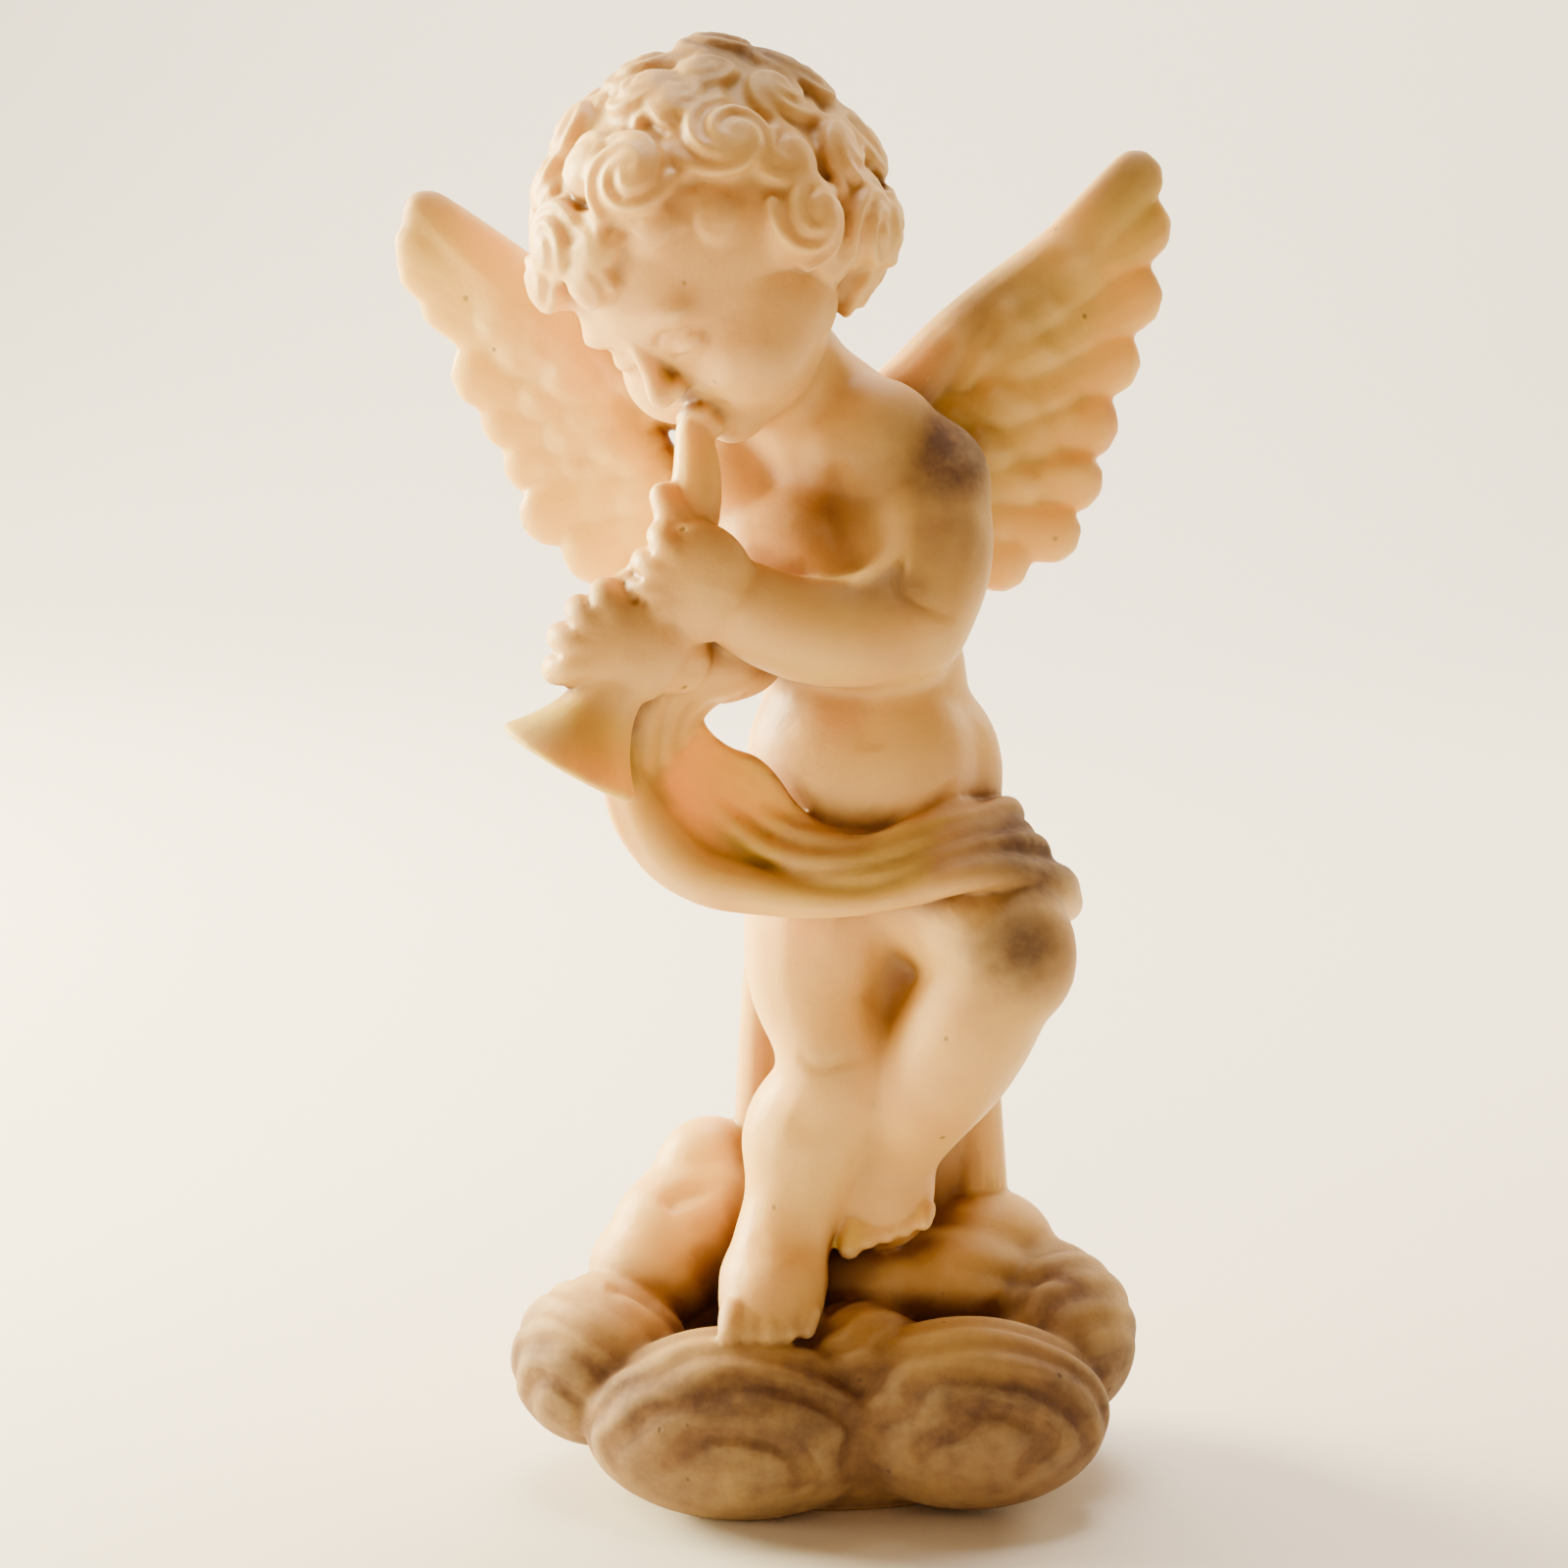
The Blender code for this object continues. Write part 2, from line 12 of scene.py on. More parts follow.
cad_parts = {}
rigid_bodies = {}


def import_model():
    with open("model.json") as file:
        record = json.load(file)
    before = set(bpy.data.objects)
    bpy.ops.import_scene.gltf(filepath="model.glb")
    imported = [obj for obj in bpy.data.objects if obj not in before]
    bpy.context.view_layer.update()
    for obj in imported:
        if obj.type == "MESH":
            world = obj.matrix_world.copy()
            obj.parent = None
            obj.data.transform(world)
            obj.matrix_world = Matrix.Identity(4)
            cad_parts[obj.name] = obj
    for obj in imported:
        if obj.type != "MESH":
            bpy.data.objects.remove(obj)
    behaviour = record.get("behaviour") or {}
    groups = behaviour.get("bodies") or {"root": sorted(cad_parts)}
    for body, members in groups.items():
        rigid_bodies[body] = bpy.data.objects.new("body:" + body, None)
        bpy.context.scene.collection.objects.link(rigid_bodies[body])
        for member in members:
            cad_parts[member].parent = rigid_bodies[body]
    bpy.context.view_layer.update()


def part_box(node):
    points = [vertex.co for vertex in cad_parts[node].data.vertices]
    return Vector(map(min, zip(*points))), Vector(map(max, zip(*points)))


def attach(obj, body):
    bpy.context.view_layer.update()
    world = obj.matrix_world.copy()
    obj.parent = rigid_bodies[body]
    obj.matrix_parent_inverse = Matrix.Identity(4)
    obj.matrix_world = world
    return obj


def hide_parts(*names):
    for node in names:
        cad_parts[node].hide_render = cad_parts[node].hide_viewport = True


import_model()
cadLow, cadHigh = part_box("cherub")

# The figure is drawn in steps of about a millimetre, 288.7 of them from the ground to the topmost curl.
figure = {
    "drawnTop": 288.7,
    "fleshVoxel": 0.0011,  # for the large soft forms
    "fineVoxel": 0.0007,  # for hair, hands, cloth and feathers
    "castVoxel": 0.00062,  # for the whole
    "triangles": 194000,
}
step = (cadHigh[2] - cadLow[2]) / figure["drawnTop"]
drawing = Matrix.Scale(step, 4)
here = Matrix.Identity(4)


# Making and joining pieces

def deselectAll():
    bpy.ops.object.select_all(action="DESELECT")


def turned(x=0, y=0, z=0):
    # degrees about X, then Y, then Z
    return (
        Matrix.Rotation(math.radians(z), 4, "Z")
        @ Matrix.Rotation(math.radians(y), 4, "Y")
        @ Matrix.Rotation(math.radians(x), 4, "X")
    )


def along(direction, up=(0, 0, 1)):
    # takes +Z to the direction, with +Y as near to up as it can be
    zAxis = Vector(direction).normalized()
    xAxis = Vector(up).cross(zAxis).normalized()
    yAxis = zAxis.cross(xAxis)
    return Matrix((xAxis, yAxis, zAxis)).transposed().to_4x4()


def ball(centre, radii, turn=(0, 0, 0), place=here):
    deselectAll()
    bpy.ops.mesh.primitive_uv_sphere_add(segments=64, ring_count=32, radius=1)
    piece = bpy.context.object
    size = Matrix.Diagonal((*radii, 1))
    piece.matrix_world = drawing @ place @ Matrix.Translation(centre) @ turned(*turn) @ size
    return piece


# A limb's end goes on past its last point in two steps; both are shares of the radius there
roundEnd = {"reach": (0.9, 0.5), "size": (0.45, 0.86)}


def limb(points, radii, place=here):
    # a round-ended tube through the points, with a radius at each
    points = [Vector(point) for point in points]
    first = (points[0] - points[1]).normalized()
    last = (points[-1] - points[-2]).normalized()
    route = [points[0] + first * radii[0] * reach for reach in roundEnd["reach"]]
    route += points
    route += [points[-1] + last * radii[-1] * reach for reach in reversed(roundEnd["reach"])]
    sizes = [radii[0] * size for size in roundEnd["size"]]
    sizes += radii
    sizes += [radii[-1] * size for size in reversed(roundEnd["size"])]
    deselectAll()
    bpy.ops.curve.primitive_bezier_curve_add()
    piece = bpy.context.object
    curve = piece.data
    curve.bevel_depth = 1
    curve.bevel_resolution = 4
    curve.resolution_u = 6
    curve.use_fill_caps = True
    spline = curve.splines[0]
    spline.radius_interpolation = "CARDINAL"
    spline.bezier_points.add(len(route) - 2)
    for knot, point, size in zip(spline.bezier_points, route, sizes):
        knot.co = point
        knot.radius = size
        knot.handle_left_type = knot.handle_right_type = "AUTO"
    piece.matrix_world = drawing @ place
    return piece


def applyModifier(piece, kind, **settings):
    deselectAll()
    piece.select_set(True)
    bpy.context.view_layer.objects.active = piece
    bpy.ops.object.modifier_add(type=kind)
    modifier = piece.modifiers[-1]
    for name, value in settings.items():
        setattr(modifier, name, value)
    bpy.ops.object.modifier_apply(modifier=modifier.name)


def joined(name, pieces):
    # one mesh with its place in it
    deselectAll()
    for piece in pieces:
        piece.select_set(True)
    bpy.context.view_layer.objects.active = pieces[0]
    bpy.ops.object.convert(target="MESH")
    bpy.ops.object.join()
    body = bpy.context.object
    body.name = body.data.name = name
    bpy.ops.object.transform_apply(location=True, rotation=True, scale=True)
    bpy.ops.object.mode_set(mode="EDIT")
    bpy.ops.mesh.select_all(action="SELECT")
    bpy.ops.mesh.remove_doubles(threshold=1e-7)
    bpy.ops.object.mode_set(mode="OBJECT")
    return body


def fused(name, pieces, voxel, rounds):
    # like clay pressed together, with the seams smoothed over
    body = joined(name, pieces)
    applyModifier(body, "REMESH", mode="VOXEL", voxel_size=voxel)
    if rounds:
        applyModifier(body, "SMOOTH", factor=0.5, iterations=rounds)
    return body


def readPoints(mesh):
    flat = np.empty(len(mesh.vertices) * 3, np.float32)
    mesh.vertices.foreach_get("co", flat)
    return flat.reshape(-1, 3).astype(float)


def writePoints(mesh, points):
    mesh.vertices.foreach_set("co", points.astype(np.float32).ravel())
    mesh.update()


def readNormals(mesh):
    flat = np.empty(len(mesh.vertices) * 3, np.float32)
    mesh.vertex_normals.foreach_get("vector", flat)
    return flat.reshape(-1, 3).astype(float)


def smoothRoute(points, count):
    # evenly spread points on a Catmull-Rom curve through the given ones
    rows = np.array(points, float)
    rows = np.vstack([2 * rows[0] - rows[1], rows, 2 * rows[-1] - rows[-2]])
    out = []
    for place in np.linspace(0, len(rows) - 3, count):
        start = min(int(place), len(rows) - 4)
        t = place - start
        a, b, c, d = rows[start : start + 4]
        square = (2 * a - 5 * b + 4 * c - d) * t**2
        cube = (3 * b - a - 3 * c + d) * t**3
        out.append(0.5 * (2 * b + (c - a) * t + square + cube))
    return np.array(out)


# Body

def torso():
    lean = (0, 0, -18)
    return [
        ball((1, 3, 186), (24, 17, 24), lean),
        ball((-2, -4, 192), (18, 12, 14), lean),
        ball((8, -7, 192), (11, 8, 10), lean),
        ball((-11, -4, 192), (11, 8, 10), lean),
        ball((5, -3, 170), (19, 15, 17), lean),
        ball((7, 2, 164), (20.5, 16, 22), lean),
        ball((6, -4, 149), (23, 18, 22), lean),
        ball((13, 1, 146), (18, 15.5, 20)),
        ball((20.5, 1, 145), (14, 12.5, 19)),
        ball((13, 3, 126), (27, 20, 18)),
        ball((13, 1, 104), (13, 12, 16)),
        ball((2, 12, 121), (14, 12, 14)),
        ball((23, 12, 121), (14, 12, 14)),
        ball((2, 10, 196), (21, 11, 18), lean),
        limb([(2, 3, 204), (-4, 0, 217), (-11, -4, 229)], [14, 13, 12]),
        limb([(-6, 3, 226), (7, 3, 216), (17, 1, 207)], [8, 8.5, 10.5]),
        limb([(-10, 3, 224), (-19, 6, 206)], [8, 10]),
        ball((7, -6, 212), (15, 11, 13)),
        ball((1, -14, 135), (15, 6.3, 6)),
    ]


def arms():
    return [
        ball((17.5, -3, 203), (14, 13.5, 14)),
        limb([(17.5, -4, 202), (19, -9, 191), (15.5, -15, 178.5)], [13, 13, 12]),
        ball((9, -21, 183), (7, 7, 7)),
        limb([(14, -15, 177.5), (2, -21, 177), (-9, -28, 180), (-17, -33, 184.5)], [10.8, 10.8, 10.2, 9.2]),
        ball((-18, 6, 204), (12, 12, 12)),
        limb([(-18, 6, 201), (-14, 6, 190), (-7, 2, 179)], [11, 10.5, 9.5]),
        limb([(-7, 1, 178), (-18, -12, 175), (-31, -26, 173)], [9.5, 9, 7.8]),
    ]


def legs():
    return [
        limb(
            [
                (2, 1, 126), (-1.6, -1, 105), (0.8, -7, 87), (-4.2, -4, 72.5), (-6.8, -6, 59.5),
                (-10, -9, 50),
            ],
            [18, 15.5, 11.4, 13.6, 10.6, 10],
        ),
        ball((-11, -12, 45), (11.3, 13.5, 9.5)),
        ball((-11.5, -17, 42), (11.2, 10.5, 7.5), (20, 0, -8)),
        limb([(21, 3, 124), (29, -11, 121), (34, -20, 116)], [19, 17, 14]),
        ball((35.4, -21, 113.5), (12.9, 12, 15)),
        limb([(33.5, -19, 110), (25, -13, 93), (18, -7, 80), (13, -2, 70)], [12.3, 13.5, 11.6, 9.8]),
        ball((12, -3.5, 60.5), (9.8, 7.6, 12.5), (-10, 8, 0)),
    ]


def toes():
    pieces = []
    for toe in range(5):
        length = (1.0, 0.85, 0.8, 0.72, 0.62)[toe]
        size = (2.9, 2.2, 2.1, 2.0, 2.0)[toe]
        start = Vector((-18.6 + 3.7 * toe, -22.5 - 1.6 * math.sin(0.8 * toe), 41.5))
        pieces.append(limb([start, start + Vector((-0.8, -3.4 * length, -3.2))], [size * 1.15, size]))
        start = Vector((4.6 + 3.7 * toe, -7.5, 54.5 + 0.9 * toe))
        pieces.append(limb([start, start + Vector((-0.6, -2.6, -3.8 * length))], [size * 1.1, size * 0.9]))
    return pieces


# Head and face, drawn about the head's own middle and facing -Y, then set on the neck

headDrawing = {
    "place": Matrix.Translation((-20.6, -10, 248)) @ turned(z=-52) @ turned(y=-15) @ turned(x=40),
    "skull": (26.5, 28.5, 26.5),
    "skullCentre": (0, 0.5, 6),
}
headPlace = headDrawing["place"]


def head():
    forms = [
        (headDrawing["skullCentre"], (27.3, 29.8, 27)),
        ((0, -8, 9), (21.5, 20.5, 18)),
        ((0, -9, -9), (21.5, 19, 18)),
        ((0, -21.5, -21.5), (7.5, 7, 5.5)),
        ((0, -12, -20), (15, 12, 8)),
    ]
    for side in (-1, 1):
        forms += [
            ((11.5 * side, -16, -11), (12, 12, 11.5)),
            ((17 * side, -8, -7), (9, 13, 13)),
            ((9 * side, -25.8, 6.5), (8.5, 3.4, 3), (0, 8 * side, 0)),
        ]
    return [ball(*form, place=headPlace) for form in forms]


def face():
    forms = [
        ((0, -29.2, -14.4), (4.8, 2.8, 2.2)),
        ((0, -28.8, -18.4), (4.4, 2.8, 2.4)),
        ((0, -29, -16.4), (4.4, 3, 3.4)),
    ]
    for side in (-1, 1):
        forms += [
            ((2.9 * side, -29.6, -7.6), (2.2, 2.4, 1.8)),
            ((9 * side, -24.4, -1.2), (5.4, 3.2, 3.4)),
        ]
    nose = limb([(0, -27.6, 3), (0, -29.4, -3), (0, -31.2, -6.8)], [2.2, 2.4, 3.0], headPlace)
    return [nose] + [ball(*form, place=headPlace) for form in forms]


# Hair. Locks that show have their angle from the crown, their heading round it, their size and how far
# they are lifted. Rows fill the rest, with their angle from the crown, how many go round, their size,
# and the angle on both sides of the face that is left free.
hairDrawing = {
    "locks": (
        (48, 162, 10, 1.4), (34, 168, 8, 0), (22, -174, 9.5, 0), (16, -86, 8.5, 0.5),
        (40, 46, 10, 0), (56, 88, 10, 0), (32, -54, 7.5, 0.5), (46, -14, 9, 0),
        (62, -32, 8, 1), (64, 4, 6.5, -0.5), (62, 150, 9, 1), (80, 146, 9.5, 0.5),
        (66, 122, 9, 0), (104, 142, 9.5, 1.6), (95, 119, 9, 0.5), (97, 86, 9.5, 0),
        (118, 112, 10.5, 0.5), (130, 128, 10, 2.5), (143, 115, 8.5, 0.5), (77, 96, 8.5, -0.5),
        (22, 20, 8, -0.5), (18, 110, 8.5, 0), (36, 100, 8.5, -0.3), (42, 132, 8.5, 0), (52, 12, 7, -1),
        (116, 90, 7.5, -1), (48, 66, 7, -1.2), (57, 44, 6.5, -1.4), (70, 65, 6.5, -1.6),
    ),
    "rows": (
        (31, 6, 9.8, 0),
        (57, 9, 9.6, 62),
        (82, 11, 9.4, 84),
        (106, 11, 9.2, 90),
        (128, 10, 9.0, 105),
    ),
    "base": ((0, 3, 8), (29.8, 30.5, 28)),
    "apart": 17,  # degrees from a lock that shows, within which the rows leave a gap
    "seat": 0.8,  # height of a lock's foot above the skull
    "strands": 3,  # strands that wind into each lock
    "strandSize": 0.12,  # this and the next two are shares of the lock's size
    "outerReach": 0.9,
    "windIn": 0.74,
    "turns": 0.72,
    "beads": 8,
    "dome": 0.74,
}


def lockPlace(tilt, heading, lift):
    skull = headDrawing["skull"]
    tip = turned(z=heading) @ turned(x=tilt)
    outward = (tip @ Vector((0, 0, 1))).normalized()
    seat = Vector(headDrawing["skullCentre"]) + Vector(
        [way * (radius + hairDrawing["seat"] + lift) for way, radius in zip(outward, skull)]
    )
    return outward, headPlace @ Matrix.Translation(seat) @ tip


def lock(tilt, heading, size, lift, hand):
    # a cushion of hair with strands that wind in towards its middle, as in a whirl
    place = lockPlace(tilt, heading, lift)[1] @ turned(z=37 * hand * tilt)
    dome = hairDrawing["dome"]
    pieces = [ball((0, 0, -size * 0.12), (size * 0.9, size * 0.9, size * 0.76), place=place)]
    for strand in range(hairDrawing["strands"]):
        route = []
        radii = []
        for bead in range(hairDrawing["beads"]):
            share = bead / (hairDrawing["beads"] - 1)
            angle = hand * math.tau * (hairDrawing["turns"] * share + strand / hairDrawing["strands"])
            reach = size * (hairDrawing["outerReach"] - hairDrawing["windIn"] * share)
            rise = size * dome * math.sqrt(1 - (reach / size) ** 2) - size * 0.04
            drift = size * 0.2 * share  # the whirl sits a little off the middle
            route.append((reach * math.cos(angle) + drift, reach * math.sin(angle), rise))
            radii.append(size * (hairDrawing["strandSize"] - 0.02 * share) + 0.1)
        pieces.append(limb(route, radii, place))
    return pieces


def hair():
    pieces = [ball(*hairDrawing["base"], place=headPlace)]
    shown = [lockPlace(tilt, heading, 0)[0] for tilt, heading, size, lift in hairDrawing["locks"]]
    hand = 1
    for tilt, heading, size, lift in hairDrawing["locks"]:
        hand = -hand
        pieces += lock(tilt, heading, size, lift, hand)
    for row, (tilt, count, size, bare) in enumerate(hairDrawing["rows"]):
        for place in range(count):
            drift = math.sin(7.3 * row + 4.1 * place)  # no two locks sit quite alike
            heading = 360 * (place + 0.5 * (row % 2) + 0.12 * drift) / count
            facing = abs((heading + 180) % 360 - 180)
            outward = lockPlace(tilt + 4 * drift, heading, 0)[0]
            crowded = any(outward.angle(other) < math.radians(hairDrawing["apart"]) for other in shown)
            if facing < bare or crowded:
                continue
            hand = -hand
            pieces += lock(tilt + 4 * drift, heading, size * (1 + 0.1 * drift), 0, hand)
    return pieces


# Horn and hands

hornDrawing = {
    "route": (
        tuple(headPlace @ Vector((0, -31.5, -16.5))),
        (-25.5, -28, 206),
        (-28.5, -31, 193.5),
        (-35, -34, 181),
        (-41.5, -36.5, 169),
    ),
    "radii": (3.6, 5.0, 5.4, 5.7, 6.3),
    "bellAxis": (-0.5, -0.1, -0.86),
    "bellLength": 15.5,
    "mouth": 14.2,
    "wall": 3.2,
    "flare": 1.8,
    "rings": 10,
}


def bellProfile():
    # radius and height of each ring: up the outer side, over the rim and down into the mouth
    neck, mouth = hornDrawing["radii"][-1], hornDrawing["mouth"]
    length, wall, rings = hornDrawing["bellLength"], hornDrawing["wall"], hornDrawing["rings"]
    outer = [
        (neck + (mouth - neck) * (ring / rings) ** hornDrawing["flare"], length * ring / rings)
        for ring in range(rings + 1)
    ]
    rim = [
        (mouth + 0.1, length + 0.8),
        (mouth - wall * 0.45, length + 1.3),
        (mouth - wall * 0.9, length + 0.7),
    ]
    inner = [(radius - wall, height) for radius, height in outer[-2:3:-1]]
    return outer + rim + inner


def horn():
    route = hornDrawing["route"]
    place = Matrix.Translation(route[-1]) @ along(hornDrawing["bellAxis"])
    # the flare is a disc extruded ring by ring and brought to each ring's radius
    deselectAll()
    reach, level = hornDrawing["radii"][-1], -2.0
    bpy.ops.mesh.primitive_circle_add(vertices=64, radius=reach, location=(0, 0, level), fill_type="NGON")
    bell = bpy.context.object
    bpy.ops.object.transform_apply(location=True)
    bpy.ops.object.mode_set(mode="EDIT")
    bpy.ops.mesh.select_all(action="SELECT")
    for radius, height in bellProfile():
        bpy.ops.mesh.extrude_region_move(TRANSFORM_OT_translate={"value": (0, 0, height - level)})
        bpy.ops.transform.resize(value=(radius / reach, radius / reach, 1), center_override=(0, 0, 0))
        reach, level = radius, height
    bpy.ops.mesh.select_all(action="SELECT")
    bpy.ops.mesh.normals_make_consistent(inside=False)
    bpy.ops.object.mode_set(mode="OBJECT")
    bell.matrix_world = drawing @ place
    return [limb(route, hornDrawing["radii"]), bell]


# Each hand: the middle, radii and turn of its back, its wrist, how thick its fingers are, where the
# fingers show as knobs at the horn's far side, and the thumb's route
handDrawing = (
    {
        "back": (-24.8, -36, 189.5),
        "backRadii": (10.4, 6.8, 11.8),
        "wrist": (-17, -33, 186),
        "finger": 3.1,
        "knobs": ((-31.8, 197.8), (-34.8, 193), (-36, 188), (-34, 183.2)),
        "thumb": ((-25, -34, 196), (-29.5, -33, 201), (-31.6, -31, 205)),
    },
    {
        "back": (-38.6, -36.5, 177),
        "backRadii": (12.2, 6.8, 11),
        "wrist": (-29, -29, 174),
        "finger": 3.2,
        "knobs": ((-42.6, 187.2), (-47.2, 184), (-50.6, 178.8), (-51.6, 172.8)),
        "thumb": ((-33, -37, 184), (-35.5, -35, 187), (-38, -33, 189)),
    },
)


def fingerBones(hand):
    # each finger leaves the back of the hand, goes over the horn and round its far side
    back = Vector(hand["back"])
    forward = Vector((0, -hand["backRadii"][1] * 0.5, 0))
    fingers = []
    for x, z in hand["knobs"]:
        knob = Vector((x, back.y + 0.4, z))
        fingers.append([
            back.lerp(knob, 0.5) + forward,
            back.lerp(knob, 0.82) + forward * 0.8,
            knob,
            knob + Vector((0.8, 4.6, -0.8)),
            knob + Vector((4.2, 7.4, -1.4)),
        ])
    return fingers


def hands():
    pieces = []
    for hand in handDrawing:
        finger = hand["finger"]
        wrist = Vector(hand["wrist"])
        back = Vector(hand["back"])
        pieces.append(ball(hand["back"], hand["backRadii"], (0, -20, 0)))
        pieces.append(limb([back.lerp(wrist, 0.1), back.lerp(wrist, 0.9)], [finger * 2.4, finger * 2.4]))
        for bones in fingerBones(hand):
            sizes = [finger * share for share in (1.0, 1.05, 1.0, 0.94, 0.85)]
            pieces.append(limb(bones, sizes))
        pieces.append(limb(hand["thumb"], [finger * 1.2, finger * 1.15, finger * 0.95]))
    return pieces


# Sash: a web between its inner and outer edges, rolled folds that lie on it, and folds that fall from
# the far forearm. Every point has the radius of the cloth there. A roll runs on behind the hips along
# the web, at its share of the way from the inner edge to the outer one.
sashDrawing = {
    "inner": (
        (-25, -14, 170, 3.6), (-27.5, -16, 163, 2.8), (-25.2, -18, 157.6, 2.3),
        (-20.3, -19.5, 153.3, 2.4), (-14.6, -20, 150.5, 3), (-5.5, -20.5, 140.5, 2.4),
        (6, -21.2, 136.9, 2.1), (15.5, -19.8, 138.6, 2.1), (24.5, -16.5, 140.5, 2.4),
        (31, -10, 137.6, 2.6), (34.5, 0, 135.5, 3.2), (30, 13, 137, 3.5), (15, 20, 139, 3.5),
        (-2, 19, 139, 3.5), (-11, 13, 137, 3.5),
    ),
    "outer": (
        (-37, -20, 170, 4), (-40, -23, 158, 3.6), (-41.2, -25, 148, 3.6), (-37.2, -26.5, 137.6, 3.6),
        (-27.6, -26.5, 128.6, 3.4), (-12.5, -26.5, 124.9, 3), (2.5, -27, 124.4, 2.5),
        (15, -27.5, 126.4, 2.5), (26.5, -27.5, 129.7, 2.8), (37, -22, 129, 3.4), (45.8, -8, 122.5, 4.5),
        (45, 8, 116, 4.4), (28, 25, 118, 4), (4, 27, 120, 4), (-13, 20, 118, 4),
    ),
    "webs": 9,
    "webShare": 0.74,  # share of the edge's radius
    "hollow": 1.4,  # how far the web sags in between its edges
    "firstBehind": 10,  # the station where the rolls pass behind the hip
    "rolls": (
        {
            "share": 0.88,
            "behind": 4.6,
            "front": (
                (-38.5, -23.5, 159, 2.6), (-38.6, -25.5, 150, 3.4), (-34.8, -26.5, 140.6, 4.8),
                (-27.4, -27, 132.4, 5), (-16, -27.5, 128.9, 4.2), (-6.2, -28, 126.9, 3.4),
                (3.9, -28.5, 126.4, 2.9), (12.6, -29, 127.8, 2.9), (20.6, -29, 130.2, 3.3),
                (31.1, -25.5, 131.2, 3.7), (39.6, -17, 127.8, 4.2),
            ),
        },
        {
            "share": 0.55,
            "behind": 2.9,
            "front": (
                (-12, -26.4, 130.6, 0.9), (-1.5, -27.5, 130.4, 1.7), (9.8, -28.2, 131.4, 2),
                (21.1, -26.4, 134.2, 2.2), (31, -21.4, 135.6, 2.3), (40, -9.5, 132.4, 2.9),
            ),
        },
        {
            "share": 0.33,
            "behind": 2.7,
            "front": (
                (-26, -21, 149, 1.0), (-19.6, -23.4, 140.6, 1.9), (-10.7, -25.2, 135, 2.3),
                (4, -26.6, 133.8, 2.2), (17.6, -25, 137, 2.1), (29, -18.2, 137.6, 2.2),
                (37, -7.5, 135.4, 2.6),
            ),
        },
        {
            "share": 0.08,
            "behind": 2.6,
            "front": (
                (-18.5, -20, 147.4, 1.0), (-11.8, -22.2, 140.8, 1.8), (-2.2, -23.8, 137.2, 2),
                (8.1, -24.6, 136.8, 1.8), (18.3, -22.6, 139.6, 2), (28.6, -15.2, 140, 2.2),
                (36, -2, 137.6, 2.6),
            ),
        },
        {
            "share": -0.12,
            "behind": 2.2,
            "front": (
                (8.9, -23.4, 137, 0.9), (15.5, -21.4, 140.6, 1.6), (22.2, -17.3, 142.2, 1.8),
                (29.5, -9.5, 139.8, 1.9),
            ),
        },
    ),
    "tie": ((9.2, -24.2, 137.4), (9.4, -26.6, 133.2)),
    "onForearm": ((-22.5, -21.5, 173), (14.5, 7, 9), (0, 0, 40)),
    "forearmFolds": (
        ((-33, -30, 180, 2.8), (-37, -29.5, 171, 3.4), (-39, -25, 160, 3.2), (-39, -23.5, 148, 2)),
        (
            (-28.5, -30, 180, 2.8), (-32.5, -29.5, 171, 3.2),
            (-35.5, -25, 160, 2.8), (-35.5, -22.4, 146, 1.6),
        ),
        (
            (-24, -27.5, 179, 2.8), (-27.8, -27.5, 170.5, 3.2),
            (-31.8, -22.5, 160, 2.6), (-32, -20.6, 147, 1.4),
        ),
        (
            (-19.5, -23.5, 178, 2.6), (-23, -24.5, 170, 3),
            (-28.3, -20.5, 161, 2.4), (-29, -19, 150, 1.2),
        ),
        (
            (-15.5, -20, 177, 2.8), (-18.5, -21.5, 169.5, 3.2),
            (-25, -19, 162.5, 2.2), (-27, -19, 157, 1.1),
        ),
        ((-10.5, -15, 175, 2.6), (-13, -16, 168.5, 3), (-20.5, -16.5, 164, 1.9)),
    ),
}


def acrossSash(station, share):
    inner, outer = sashDrawing["inner"][station], sashDrawing["outer"][station]
    return [a + (b - a) * share for a, b in zip(inner, outer)]


def foldOfCloth(stations):
    return limb([station[:3] for station in stations], [station[3] for station in stations])


def sash():
    pieces = []
    webs = sashDrawing["webs"]
    for web in range(webs):
        share = web / (webs - 1)
        sag = sashDrawing["hollow"] * math.sin(math.pi * share)
        stations = []
        for station in range(len(sashDrawing["inner"])):
            x, y, z, radius = acrossSash(station, share)
            stations.append((x, y + sag, z, radius * sashDrawing["webShare"]))
        pieces.append(foldOfCloth(stations))
    for roll in sashDrawing["rolls"]:
        stations = list(roll["front"])
        for station in range(sashDrawing["firstBehind"], len(sashDrawing["inner"])):
            x, y, z, _ = acrossSash(station, roll["share"])
            stations.append((x, y, z, roll["behind"]))
        pieces.append(foldOfCloth(stations))
    pieces.append(ball(*sashDrawing["onForearm"]))
    pieces += [foldOfCloth(fold) for fold in sashDrawing["forearmFolds"]]
    pieces.append(limb(sashDrawing["tie"], [1.6, 1.4]))
    return pieces


# The sash's end falls behind the legs in upright folds and backs them
hangingDrawing = {
    "backing": ((9, 17, 84), (24, 8, 48)),
    "folds": 7,
    "top": (-10, 40),  # where the first fold starts and how far the last one lies from it
    "foot": (-13.5, 45),
    "bulge": (17, 9),
    "radii": [4, 5, 5.5, 6.5],
}


